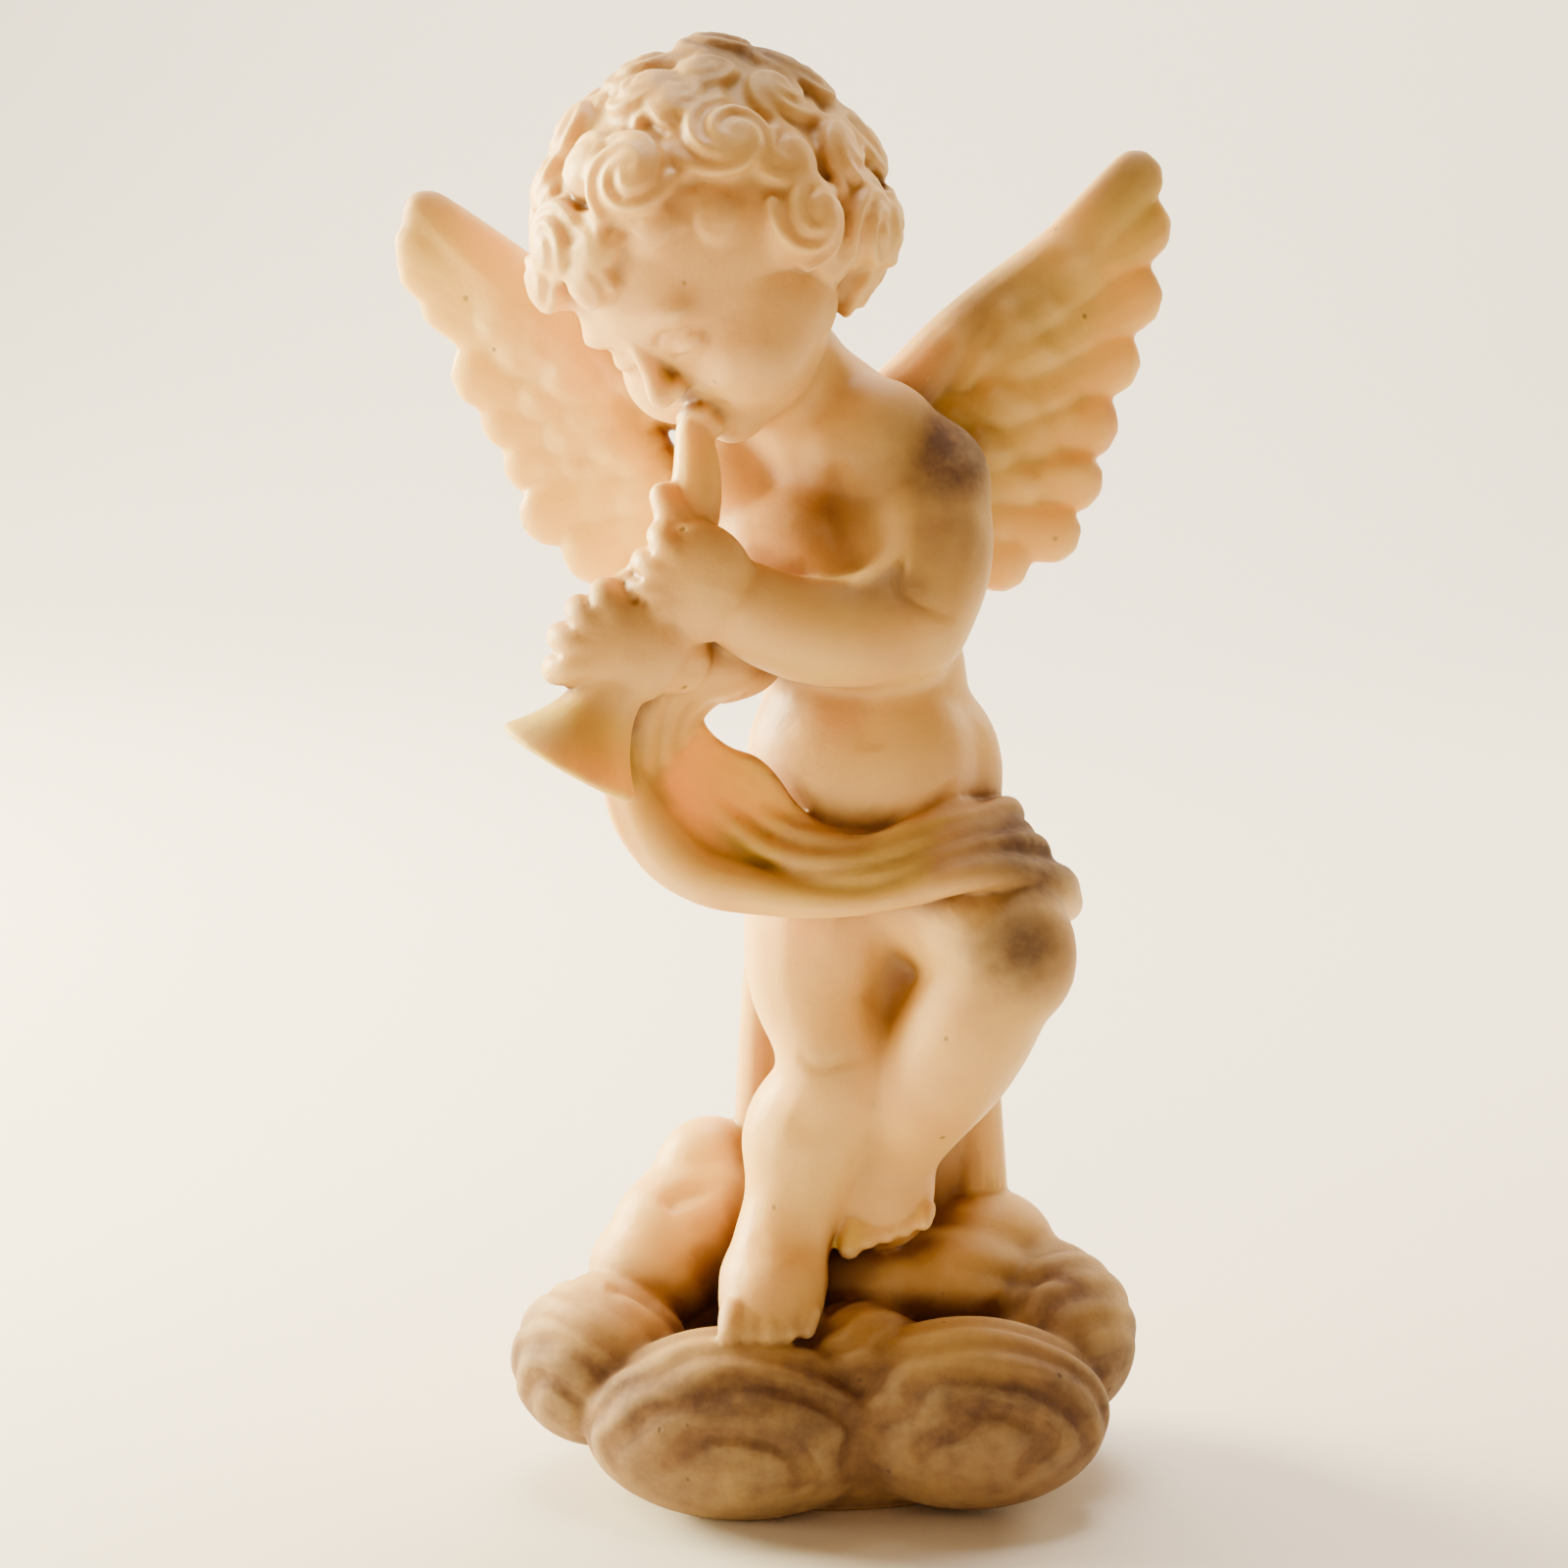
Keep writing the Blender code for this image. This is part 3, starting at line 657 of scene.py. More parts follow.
def hangingCloth():
    drawn = hangingDrawing
    pieces = [ball(*drawn["backing"])]
    for fold in range(drawn["folds"]):
        share = fold / (drawn["folds"] - 1)
        xTop = drawn["top"][0] + drawn["top"][1] * share
        xFoot = drawn["foot"][0] + drawn["foot"][1] * share
        bulge = drawn["bulge"][0] + drawn["bulge"][1] * math.sin(math.pi * share)
        route = [
            (xTop, bulge - 3, 132),
            (xTop - 2, bulge, 105),
            (xFoot + 2 * math.sin(3 * fold), bulge + 1, 75),
            (xFoot, bulge + 1, 40),
        ]
        pieces.append(limb(route, drawn["radii"]))
    return pieces


# Cloud: each lobe's middle, radii and the way its coats face; they ring that spot like an onion's
cloudDrawing = {
    "lobes": (
        ((-17.5, -22, 17.5), (30, 18.5, 17.5), (-0.02, -1, -0.2)),
        ((27.5, -22, 19.5), (27, 17.5, 17.5), (0.06, -1, -0.2)),
        ((-46, -4, 24), (17.5, 19.5, 15.5), (-0.62, -0.9, -0.45)),
        ((45.5, 2, 27), (16.5, 21, 16), (0.6, -0.9, -0.5)),
        ((6, -15, 26.5), (14, 15, 11.5), (0.5, -1, -0.3)),
        ((-28, 23, 22), (24, 20.5, 19), (-0.5, 1, -0.2)),
        ((28, 24, 23), (25, 19.5, 19), (0.5, 1, -0.2)),
        ((0, 30, 20), (21, 19.5, 17), (0, 1, -0.2)),
    ),
    "drawnHeight": 36.0,
    "height": 38.0,
    "firstRing": 27,  # degrees from the facing spot to the first groove
    "ringSpacing": 23,
    "grooveWidth": 0.24,  # share of a coat
    "ringDepth": 0.07,  # share of the lobe's radius
    "waver": 3.5,  # degrees by which the coats wander
    "proud": 0.045,
}


def cloudLobe(centre, radii, facing, stretch):
    # a ball whose skin is grooved in rings round the facing spot, and smoother below it
    deselectAll()
    bpy.ops.mesh.primitive_uv_sphere_add(segments=128, ring_count=96, radius=1)
    piece = bpy.context.object
    points = readPoints(piece.data)
    axis = Vector(facing).normalized()
    tilt = np.degrees(np.arccos(np.clip(points @ np.array(axis), -1, 1)))
    swing = 2.7 * points[:, 0] + 3.9 * points[:, 2] + centre[0]
    tilt += cloudDrawing["waver"] * (np.sin(swing) + 0.6 * np.sin(2.3 * swing + 1))
    phase = (tilt - cloudDrawing["firstRing"]) / cloudDrawing["ringSpacing"]
    coat = phase - np.floor(phase)
    groove = np.exp(-((np.minimum(coat, 1 - coat) / cloudDrawing["grooveWidth"]) ** 2))
    terrace = 0.5 - coat  # the outer edge of each coat lies lower than its inner one
    sway = 0.5 + 0.5 * np.sin(3.1 * points[:, 0] + 5 * axis.x)
    above = np.clip((points[:, 2] - axis.z + 0.1 + 0.2 * sway) / 0.5, 0, 1)
    above = above * (0.55 + 0.45 * sway) * (tilt > cloudDrawing["firstRing"] - 9)
    reach = 1 + cloudDrawing["proud"] - cloudDrawing["ringDepth"] * above * (groove - 0.45 * terrace)
    writePoints(piece.data, points * reach[:, None])
    piece.matrix_world = stretch @ Matrix.Translation(centre) @ Matrix.Diagonal((*radii, 1))
    return piece


def cloud():
    stretch = drawing @ Matrix.Diagonal((1, 1, cloudDrawing["height"] / cloudDrawing["drawnHeight"], 1))
    pieces = [cloudLobe(*lobe, stretch) for lobe in cloudDrawing["lobes"]]
    core = ball((0, 0, 0), (1, 1, 1))
    core.matrix_world = stretch @ Matrix.Translation((0, 2, 10)) @ Matrix.Diagonal((46, 33, 15, 1))
    return pieces + [core]


def cloudHeap():
    # puffs that climb behind the legs and carry the lifted foot
    return [
        ball((-27, 13, 47), (15.5, 13, 16)),
        ball((-35, 9, 40), (14, 13, 12.5)),
        ball((-24, 17, 57), (12, 10, 13)),
        ball((-31, 11, 47), (13.5, 12, 13)),
        ball((-20, 14, 50), (14, 12, 15)),
        ball((12, 2, 40), (16, 13, 9.5)),
        ball((24, 4, 39), (19, 15, 11.5)),
        ball((32, 15, 42), (15, 14, 13)),
        ball((43, 8, 38), (13, 14, 8)),
    ]


# Wings: the arm's route and each flight feather's root, tip and half width
wingDrawing = {
    "armRadii": [7.6, 6.9, 5.7, 4.9, 4],
    "thickness": 3.6,
    "tiltedBy": 0.12,  # each feather lies a little on the next
    # a long flight feather, a shorter covert over it and a small one over that: shares of the drawn
    # length and width, and how many thicknesses forward
    "layers": ((1.0, 1.0, 0.0), (0.66, 0.95, 0.32), (0.42, 0.85, 0.6)),
    "left": {
        "arm": ((-6, 14, 207), (-24, 17, 215), (-45, 20, 226), (-62.5, 24, 237), (-80.6, 29, 253.6)),
        "feathers": (
            ((-36, 18, 221), (-84, 29, 255), 6.5),
            ((-42, 19, 222), (-85.8, 29.5, 250), 7),
            ((-42, 19, 220), (-85.4, 30, 246), 8),
            ((-41, 19, 217), (-81.2, 29.5, 239), 8),
            ((-38, 19, 212), (-75.5, 28, 223.5), 8.5),
            ((-35, 18, 208), (-70, 27.5, 213), 7),
            ((-32, 18, 204), (-65.5, 27, 203), 7.5),
            ((-28, 17, 201), (-62, 25, 191.5), 7.5),
            ((-22, 16, 198), (-53, 23, 183), 8),
            ((-16, 16, 196), (-42, 21, 177), 8),
            ((-10, 15, 196), (-30, 19, 176), 8),
        ),
    },
    "right": {
        "arm": ((0, 14, 206), (12.5, 16, 216.5), (26.5, 20, 231), (43.5, 24, 244.5), (61.5, 29, 259)),
        "feathers": (
            ((26, 18, 222), (64.5, 29, 264), 6.5),
            ((30, 19, 228), (67, 30, 254), 8),
            ((30, 19, 222), (66, 29, 239.5), 8),
            ((28, 18, 214), (62, 28, 226), 8),
            ((25, 17, 206), (58, 26, 212.5), 8),
            ((20, 16, 200), (55, 24, 200), 7.2),
            ((15, 16, 196), (50.5, 22, 188.5), 7),
            ((10, 15, 194), (40, 20, 182), 7),
            ((6, 14, 206), (30, 17, 208), 9),
            ((8, 14, 204), (34, 18, 216), 9),
        ),
    },
}


def feather(root, tip, halfWidth, thickness, lean):
    # a flat blade with a round end, broadest past its middle
    length = (tip - root).length - halfWidth * 0.9
    flat = Matrix.Diagonal((1, thickness / halfWidth, 1, 1))
    place = Matrix.Translation(root) @ along(tip - root, lean) @ flat
    spine = [(0, 0, 0), (0, 0, length * 0.5), (0, 0, length)]
    return limb(spine, [halfWidth * 0.6, halfWidth, halfWidth * 0.92], place)


def wing(side):
    drawn = wingDrawing[side]
    thickness = wingDrawing["thickness"]
    pieces = [limb(drawn["arm"], wingDrawing["armRadii"])]
    lean = Vector((0, -1, 0))
    tilted = Vector((0, -1, -wingDrawing["tiltedBy"]))
    for root, tip, halfWidth in drawn["feathers"]:
        root, tip = Vector(root), Vector(tip)
        for reach, width, lift in wingDrawing["layers"]:
            rise = lean * thickness * lift
            end = root.lerp(tip, reach) + rise
            pieces.append(feather(root + rise, end, halfWidth * width, thickness, tilted))
    return pieces


# Carving: strokes pressed into the cast or raised from it

def carve(points, normals, line, width, depth, taper=True):
    # moves what is near the line along its normals; width and depth in the drawing's steps
    line = smoothRoute(line, max(8, 5 * len(line))) * step
    width, depth = width * step, depth * step
    near = np.all((points > line.min(0) - 3 * width) & (points < line.max(0) + 3 * width), axis=1)
    chosen = points[near]
    if not len(chosen):
        return
    best = np.full(len(chosen), np.inf)
    place = np.zeros(len(chosen))
    for index in range(len(line) - 1):
        start, span = line[index], line[index + 1] - line[index]
        share = np.clip((chosen - start) @ span / (span @ span + 1e-18), 0, 1)
        gap = np.linalg.norm(chosen - start - share[:, None] * span, axis=1)
        closer = gap < best
        best[closer] = gap[closer]
        place[closer] = (index + share[closer]) / (len(line) - 1)
    force = np.exp(-((best / width) ** 2))
    if taper:
        force *= np.clip(np.sin(math.pi * place) * 2.2, 0, 1)
    points[near] += normals[near] * (force * depth)[:, None]


def onSurface(tree, route, place=here):
    # the route's points, each brought to the nearest spot of the cast's skin
    found = []
    for point in route:
        spot = drawing @ place @ Vector(point)
        found.append(tuple(tree.find_nearest(spot)[0] / step))
    return found


def faceStrokes():
    strokes = []
    for side in (-1, 1):
        strokes += [
            ([(4.3 * side, -26, -1.8), (9 * side, -28, -3.2), (14.2 * side, -24, -1.6)], 0.6, -0.75),
            ([(4.0 * side, -27, 1.4), (9 * side, -28, 3.4), (14.5 * side, -24, 1.4)], 0.8, -0.6),
            ([(5.4 * side, -29, -6.5), (6.8 * side, -29, -9.5), (8.2 * side, -28, -13)], 1.4, -0.4),
            ([(7.4 * side, -27, -14.8), (6.4 * side, -28, -16.8)], 1.3, -0.4),
        ]
    strokes += [
        ([(-4.5, -27, -21.4), (0, -28, -22), (4.5, -27, -21.4)], 1.2, -0.4),
        ([(0, -31, -11), (0, -30.5, -13.4)], 0.8, -0.4),
    ]
    return strokes


def bodyStrokes():
    return [
        ([(11, -28, 196), (14, -27, 186), (21, -20, 180)], 1.2, -0.7),  # inside of the bent elbow
        ([(0, -20, 210), (2, -20, 200), (5, -20, 190)], 2.4, -0.6),  # middle of the chest
        ([(5, -22, 166), (7, -22, 160), (8, -22, 154)], 2.6, -0.5),  # middle of the belly
        ([(-9, -18, 92), (-2, -20, 90), (8, -18, 93)], 1.4, -0.5),  # above the knee
        ([(-9, -18, 80), (-2, -18, 77), (7, -16, 79)], 2.6, -0.4),  # below the knee
        ([(-17, -16, 55), (-9, -21, 54), (-1, -16, 56)], 1.8, -0.4),  # ankle
        ([(12, -22, 137.3), (18.5, -20, 142.1), (24.7, -16, 147.3)], 1.3, -0.9),  # groin above the sash
        ([(-34, 0, 56), (-29, -1, 61), (-22, 0, 63.5)], 2.6, -1.4),  # folds of the bank at the left
        ([(-45, -8, 45), (-36, -8, 41.5), (-23, -8, 43)], 2.6, -1.4),
        ([(24, -8, 47), (38, -8, 45.5), (50, -6, 38)], 2.4, -1.2),  # and at the right
    ]


def fingerStrokes():
    strokes = []
    for hand in handDrawing:
        fingers = fingerBones(hand)
        for upper, lower in zip(fingers, fingers[1:]):
            line = [(a + b) / 2 for a, b in zip(upper, lower)][1:4]
            strokes.append((line, 0.7, -1.0))
    return strokes


# Small soft feathers over the wings: where each ends, seen from the front
covertTips = (
    (-55.6, 221.4), (-61.5, 214.8), (-43.8, 218.3), (-47.4, 211.1), (-48.8, 202.3), (-55.6, 207.4),
    (-40.1, 205), (-59.5, 201.1), (-67.1, 222.6), (-36, 213), (-72, 229), (-31, 203), (-41, 195),
    (40.6, 231.1), (48, 224.5), (37.5, 218.7), (44.3, 212.8), (51.1, 213.8), (35.7, 206), (42.5, 200.1),
    (48.9, 234.2), (31, 226), (54, 244), (29, 212), (52, 203),
)


def covertStrokes():
    # each is a low oval that points away from the shoulder
    strokes = []
    for x, z in covertTips:
        side = math.copysign(1, x)
        line = [(x - 4.2 * side, 12, z + 2.6), (x - 2.6 * side, 12, z + 1.6), (x - 1 * side, 12, z + 0.6)]
        strokes.append((line, 3.0, 0.8))
    return strokes


def sculpt(cast):
    mesh = cast.data
    tree = BVHTree.FromObject(cast, bpy.context.evaluated_depsgraph_get())
    points = readPoints(mesh)
    normals = readNormals(mesh)
    for route, width, depth in faceStrokes():
        carve(points, normals, onSurface(tree, route, headPlace), width, depth)
    for route, width, depth in bodyStrokes() + fingerStrokes():
        carve(points, normals, onSurface(tree, route), width, depth)
    for route, width, depth in covertStrokes():
        carve(points, normals, onSurface(tree, route), width, depth, taper=False)
    writePoints(mesh, points)


# Wear and dirt, and painted shade, painted glow and painted highlight, worked out for each point of the skin

dirtAndShade = {
    "rays": 20,
    "rayTurn": 2.39996,  # the golden angle, which spreads the rays evenly
    "reach": 0.03,  # how far a wall still shades a hollow, and the thickest wall that is told apart
    "farShare": 0.6,  # by how much a wall shades less at that reach than close by
    "offSkin": 0.0002,
    "samples": 22000,
    "blurRounds": 6,
}


def blurOverEdges(mesh, values, rounds):
    edges = np.empty(len(mesh.edges) * 2, np.int64)
    mesh.edges.foreach_get("vertices", edges)
    first, second = edges[0::2], edges[1::2]
    count = np.bincount(edges, minlength=len(values)).astype(float) + 1
    for _ in range(rounds):
        total = values.copy()
        np.add.at(total, first, values[second])
        np.add.at(total, second, values[first])
        values = total / count
    return values


def hollows(cast):
    # the share of the sky that each point doesn't see, and how thin the wall is behind it
    mesh = cast.data
    tree = BVHTree.FromObject(cast, bpy.context.evaluated_depsgraph_get())
    points = readPoints(mesh)
    normals = readNormals(mesh)
    chance = np.random.default_rng(7)
    count = min(dirtAndShade["samples"], len(points))
    chosen = chance.choice(len(points), count, replace=False)
    heights = np.sqrt(1 - (np.arange(dirtAndShade["rays"]) + 0.5) / dirtAndShade["rays"])
    angles = np.arange(dirtAndShade["rays"]) * dirtAndShade["rayTurn"]
    spread = np.sqrt(1 - heights**2)
    rays = np.stack([spread * np.cos(angles), spread * np.sin(angles), heights], axis=1)
    reach = dirtAndShade["reach"]
    nearest = KDTree(count)
    shade = np.zeros(count)
    thin = np.zeros(count)
    for index, vertex in enumerate(chosen):
        normal = Vector(normals[vertex])
        spot = Vector(points[vertex])
        start = spot + normal * dirtAndShade["offSkin"]
        sideways = normal.orthogonal().normalized()
        across = normal.cross(sideways)
        hits = 0.0
        for x, y, z in rays:
            gap = tree.ray_cast(start, sideways * x + across * y + normal * z, reach)[3]
            if gap is not None:
                hits += 1 - dirtAndShade["farShare"] * gap / reach
        shade[index] = hits / dirtAndShade["rays"]
        depth = tree.ray_cast(spot - normal * 1.5 * dirtAndShade["offSkin"], -normal, reach)[3]
        thin[index] = 1 - (reach if depth is None else depth) / reach
        nearest.insert(spot, index)
    nearest.balance()
    pick = np.array([[found[1] for found in nearest.find_n(Vector(point), 3)] for point in points])
    return blurOverEdges(mesh, shade[pick].mean(1), 2), blurOverEdges(mesh, thin[pick].mean(1), 4)


def bumps(cast):
    # in millimetres: positive on edges and knobs, which are painted pale as wear and painted highlight,
    # negative in creases, which are painted dark as dirt and painted shade
    mesh = cast.data
    points = readPoints(mesh)
    columns = [blurOverEdges(mesh, column, dirtAndShade["blurRounds"]) for column in points.T]
    smoothed = np.stack(columns, axis=1)
    return np.einsum("ij,ij->i", points - smoothed, readNormals(mesh)) * 1000


# Where dust has settled and where shade is painted in with it: middle of each patch, its radii and how heavy
# it is
dustAndShadePatches = (
    ((-10, -4, 290), (36, 36, 22), 1.0),
    ((12, -2, 268), (16, 26, 18), 0.5),
    ((-42, -16, 254), (10, 12, 10), 0.45),
    ((22, -6, 209), (15, 20, 13), 1.5),
    ((23, -14, 196), (14, 16, 14), 0.8),
    ((12, -24, 186), (12, 9, 6), 0.7),
    ((17, -22, 172), (12, 12, 8), 0.35),
    ((36, -30, 116), (14, 14, 12), 1.35),
    ((38, -12, 132), (19, 24, 11), 1.5),
    ((12, -26, 133), (24, 12, 9), 0.6),
    ((46, -2, 33), (20, 26, 18), 1.3),
    ((-53, -38, 158), (14, 14, 10), 0.8),
    ((-80, 28, 254), (9, 9, 12), 0.6),
    ((60, 27, 262), (11, 10, 14), 0.7),
    ((28, 18, 237), (18, 10, 12), 0.8),
    ((-43, -40, 184), (12, 10, 7), 0.45),
    ((0, -16, 90), (8, 8, 5), 0.35),
    ((2, -20, 139), (20, 9, 5), 0.35),
)


# Painted shade: spots that the figure's own parts shade, painted dark amber, given in the same way
paintedShadePatches = (
    ((-3, -14, 200), (16, 15, 18), 0.5),
    ((-24, 6, 212), (18, 14, 14), 0.42),
    ((-17, -17, 152), (15, 10, 12), 0.5),
    ((-6, -18, 158), (10, 10, 14), 0.3),
    ((15, -10, 101), (9, 12, 22), 0.55),
    ((11, -6, 76), (7, 10, 14), 0.4),
    ((3, -10, 50), (8, 10, 10), 0.35),
    ((-22, 6, 46), (12, 12, 12), 0.3),
)


# The bank is painted dark with dust and painted shade up to the second height, in drawn steps, and plain
# from the first one up
bankDustAndShade = {"plainAbove": 50, "darkBelow": 30}


def patchAmount(drawn, patches):
    amount = np.zeros(len(drawn))
    for centre, radii, weight in patches:
        gap = np.linalg.norm((drawn - centre) / radii, axis=1)
        amount = np.maximum(amount, weight * np.exp(-(gap**2)))
    return amount


def settledDustAndShade(points, normals):
    drawn = points / step
    upward = np.clip(0.5 + 0.5 * normals[:, 2], 0, 1)
    amount = patchAmount(drawn, dustAndShadePatches) * (0.5 + 0.5 * upward)
    plainFrom, full = bankDustAndShade["plainAbove"], bankDustAndShade["darkBelow"]
    low = np.clip((plainFrom - drawn[:, 2]) / (plainFrom - full), 0, 1)
    amount = np.maximum(amount, low * (0.85 + 0.15 * upward))
    return np.clip(amount, 0, 1)


def storeValues(mesh, name, values):
    layer = mesh.attributes.new(name, "FLOAT", "POINT")
    layer.data.foreach_set("value", values.astype(np.float32))


def weatherAndPaintShade(cast):
    mesh = cast.data
    shade, thin = hollows(cast)
    points = readPoints(mesh)
    # painted shade: the unseen share of the sky, raised in the painted shade patches, tints the colour amber
    storeValues(mesh, "hollow", np.maximum(shade, patchAmount(points / step, paintedShadePatches)))
    # painted glow: how thin the wall is, which paints thin places golden; it also sets how much light sinks
    # in
    storeValues(mesh, "thin", thin)
    # wear with painted highlight on edges, dirt with painted shade in creases, from how far the skin stands
    # out or sinks in
    storeValues(mesh, "curvature", bumps(cast))
    # dust, with painted shade laid into the same patches and low on the bank
    storeValues(mesh, "settledAndShaded", settledDustAndShade(points, readNormals(mesh)))


# Materials

def linear(hexColour):
    parts = [int(hexColour[place : place + 2], 16) / 255 for place in (1, 3, 5)]
    return (*[part / 12.92 if part <= 0.04045 else ((part + 0.055) / 1.055) ** 2.4 for part in parts], 1)


def addNode(tree, kind, settings=None, links=None):
    # settings name properties or inputs; links give an input's name or number and what feeds it
    node = tree.nodes.new("ShaderNode" + kind)
    for name, value in (settings or {}).items():
        if isinstance(name, int) or name in node.inputs:
            node.inputs[name].default_value = value
        else:
            setattr(node, name, value)
    for name, source in (links or {}).items():
        tree.links.new(source, node.inputs[name])
    return node


resin = {
    "cream": "#F0C46C",
    "peach": "#DE9E5C",
    "paintedShadeAmber": "#86520A",
    "paintedGlowGold": "#F3D540",
    "dustAndShade": "#593A23",
    "sootAndShade": "#281A0F",
    "wornAndHighlight": "#F8DDA2",
    # what each coat follows, where it starts, where it is full, its share there and how it sets in
    "coats": {
        "paintedShadeAmber": ("hollow", 0.12, 0.55, 0.95, "SMOOTHSTEP"),  # painted shade: hollows and shaded spots are painted amber
        "paintedGlowGold": ("thin", 0.6, 0.92, 0.8, "LINEAR"),  # painted glow: thin wings and cloth are painted golden, as if lit through from behind
        "wornAndHighlight": ("curvature", 0.15, 0.6, 0.25, "LINEAR"),  # edges and knobs painted pale: wear from hands, and painted highlight
        "sootAndShade": ("curvature", -0.08, -0.5, 0.2, "LINEAR"),  # creases painted dark: dirt, and painted shade
    },
    # scale, detail and roughness of each noise
    "noises": {
        "blend": (40, 3, 0.5),  # the filler's cloudy blend, 25 mm across
        "patches": (160, 5, 0.65),  # breaks up the dust and painted shade: 6 mm, with specks of 1 mm in it
        "ripple": (300, 3, 0.5),  # 3 mm
        "grain": (1500, 4, 0.6),  # the mould's fine grain, 0.6 mm
    },
    "roughness": 0.45,
    "dustRoughness": 0.8,
    "glow": (0.3, 0.85),  # share of light that sinks in, in thick and in thin places
    "glowReach": (1.0, 0.85, 0.5),  # red goes deeper than blue
    "glowDepth": 0.0045,
}


def castMarbleResin():
    # polyester resin filled with marble powder, poured in a mould and left bare: it lets light in a few
    # millimetres, so thin places go warm, with a soft satin shine, pores and settled dust; thin places are
    # also painted golden as painted glow, hollows amber as painted shade, dust and creases carry painted
    # shade, and edges a painted highlight
    material = bpy.data.materials.new("castMarbleResin")
    material.use_nodes = True
    tree = material.node_tree
    shader = tree.nodes["Principled BSDF"]
    place = addNode(tree, "TexCoord").outputs["Object"]
    skin, noise, coats = {}, {}, {}
    for name in ("hollow", "thin", "curvature", "settledAndShaded"):
        skin[name] = addNode(tree, "Attribute", {"attribute_name": name}).outputs["Fac"]
    for name, (scale, detail, rough) in resin["noises"].items():
        settings = {"Scale": scale, "Detail": detail, "Roughness": rough}
        noise[name] = addNode(tree, "TexNoise", settings, {"Vector": place}).outputs["Fac"]
    for name, (source, start, full, most, kind) in resin["coats"].items():
        settings = {"From Min": start, "From Max": full, "To Max": most, "interpolation_type": kind}
        coats[name] = addNode(tree, "MapRange", settings, {"Value": skin[source]}).outputs["Result"]

    blendShare = addNode(
        tree, "MapRange", {"From Min": 0.35, "From Max": 0.7, "To Max": 0.6}, {"Value": noise["blend"]}
    )
    body = addNode(
        tree,
        "Mix",
        {"data_type": "RGBA", 6: linear(resin["cream"]), 7: linear(resin["peach"])},
        {0: blendShare.outputs["Result"]},
    )
    # dust and painted shade, broken up by noise
    broken = addNode(
        tree,
        "MapRange",
        {"From Min": 0.3, "From Max": 0.7, "To Min": 0.86, "To Max": 1.08},
        {"Value": noise["patches"]},
    )
    dustAndShadeShare = addNode(
        tree,
        "Math",
        {"operation": "MULTIPLY", "use_clamp": True},
        {0: skin["settledAndShaded"], 1: broken.outputs["Result"]},
    )
    # pores about 1 mm wide, in one cell of ten, painted dark with dirt and painted shade
    cells = addNode(tree, "TexVoronoi", {"Scale": 180, "Randomness": 1}, {"Vector": place})
    poreShape = addNode(
        tree,
        "MapRange",
        {"From Min": 0.07, "From Max": 0.14, "To Min": 1, "To Max": 0},
        {"Value": cells.outputs["Distance"]},
    )
    cellPick = addNode(tree, "SeparateColor", {}, {"Color": cells.outputs["Color"]})
    rare = addNode(tree, "Math", {"operation": "LESS_THAN", 1: 0.1}, {0: cellPick.outputs["Red"]})
    pore = addNode(
        tree,
        "Math",
        {"operation": "MULTIPLY"},
        {0: poreShape.outputs["Result"], 1: rare.outputs["Value"]},
    )
    poreShare = addNode(tree, "Math", {"operation": "MULTIPLY", 1: 0.55}, {0: pore.outputs["Value"]})
    # each of these covers what is below it by its share: painted shade in amber, painted glow in gold, dust
    # with painted shade, wear with painted highlight, dirt with painted shade in creases and pores
    colour = body.outputs[2]
    for name, share in (
        ("paintedShadeAmber", coats["paintedShadeAmber"]),
        ("paintedGlowGold", coats["paintedGlowGold"]),
        ("dustAndShade", dustAndShadeShare.outputs["Value"]),
        ("wornAndHighlight", coats["wornAndHighlight"]),
        ("sootAndShade", coats["sootAndShade"]),
        ("sootAndShade", poreShare.outputs["Value"]),
    ):
        layer = addNode(tree, "Mix", {"data_type": "RGBA", 7: linear(resin[name])}, {0: share, 6: colour})
        colour = layer.outputs[2]
    tree.links.new(colour, shader.inputs["Base Color"])

    # dust is duller than bare resin
    rough = addNode(
        tree,
        "MapRange",
        {"To Min": resin["roughness"], "To Max": resin["dustRoughness"]},
        {"Value": dustAndShadeShare.outputs["Value"]},
    )
    tree.links.new(rough.outputs["Result"], shader.inputs["Roughness"])

    # grain and ripples stand out and pores are pits
    height = addNode(
        tree, "Math", {"operation": "MULTIPLY_ADD", 1: 0.25}, {0: noise["grain"], 2: noise["ripple"]}
    )
    pitted = addNode(
        tree, "Math", {"operation": "SUBTRACT"}, {0: height.outputs["Value"], 1: pore.outputs["Value"]}
    )
    bump = addNode(tree, "Bump", {"Strength": 0.35, "Distance": 0.0005}, {"Height": pitted.outputs["Value"]})
    tree.links.new(bump.outputs["Normal"], shader.inputs["Normal"])

    glow = addNode(
        tree,
        "MapRange",
        {"From Min": 0.55, "From Max": 0.9, "To Min": resin["glow"][0], "To Max": resin["glow"][1]},
        {"Value": skin["thin"]},
    )
    tree.links.new(glow.outputs["Result"], shader.inputs["Subsurface Weight"])
    shader.inputs["Subsurface Radius"].default_value = resin["glowReach"]
    shader.inputs["Subsurface Scale"].default_value = resin["glowDepth"]
    shader.inputs["IOR"].default_value = 1.5
    return material


# The cast

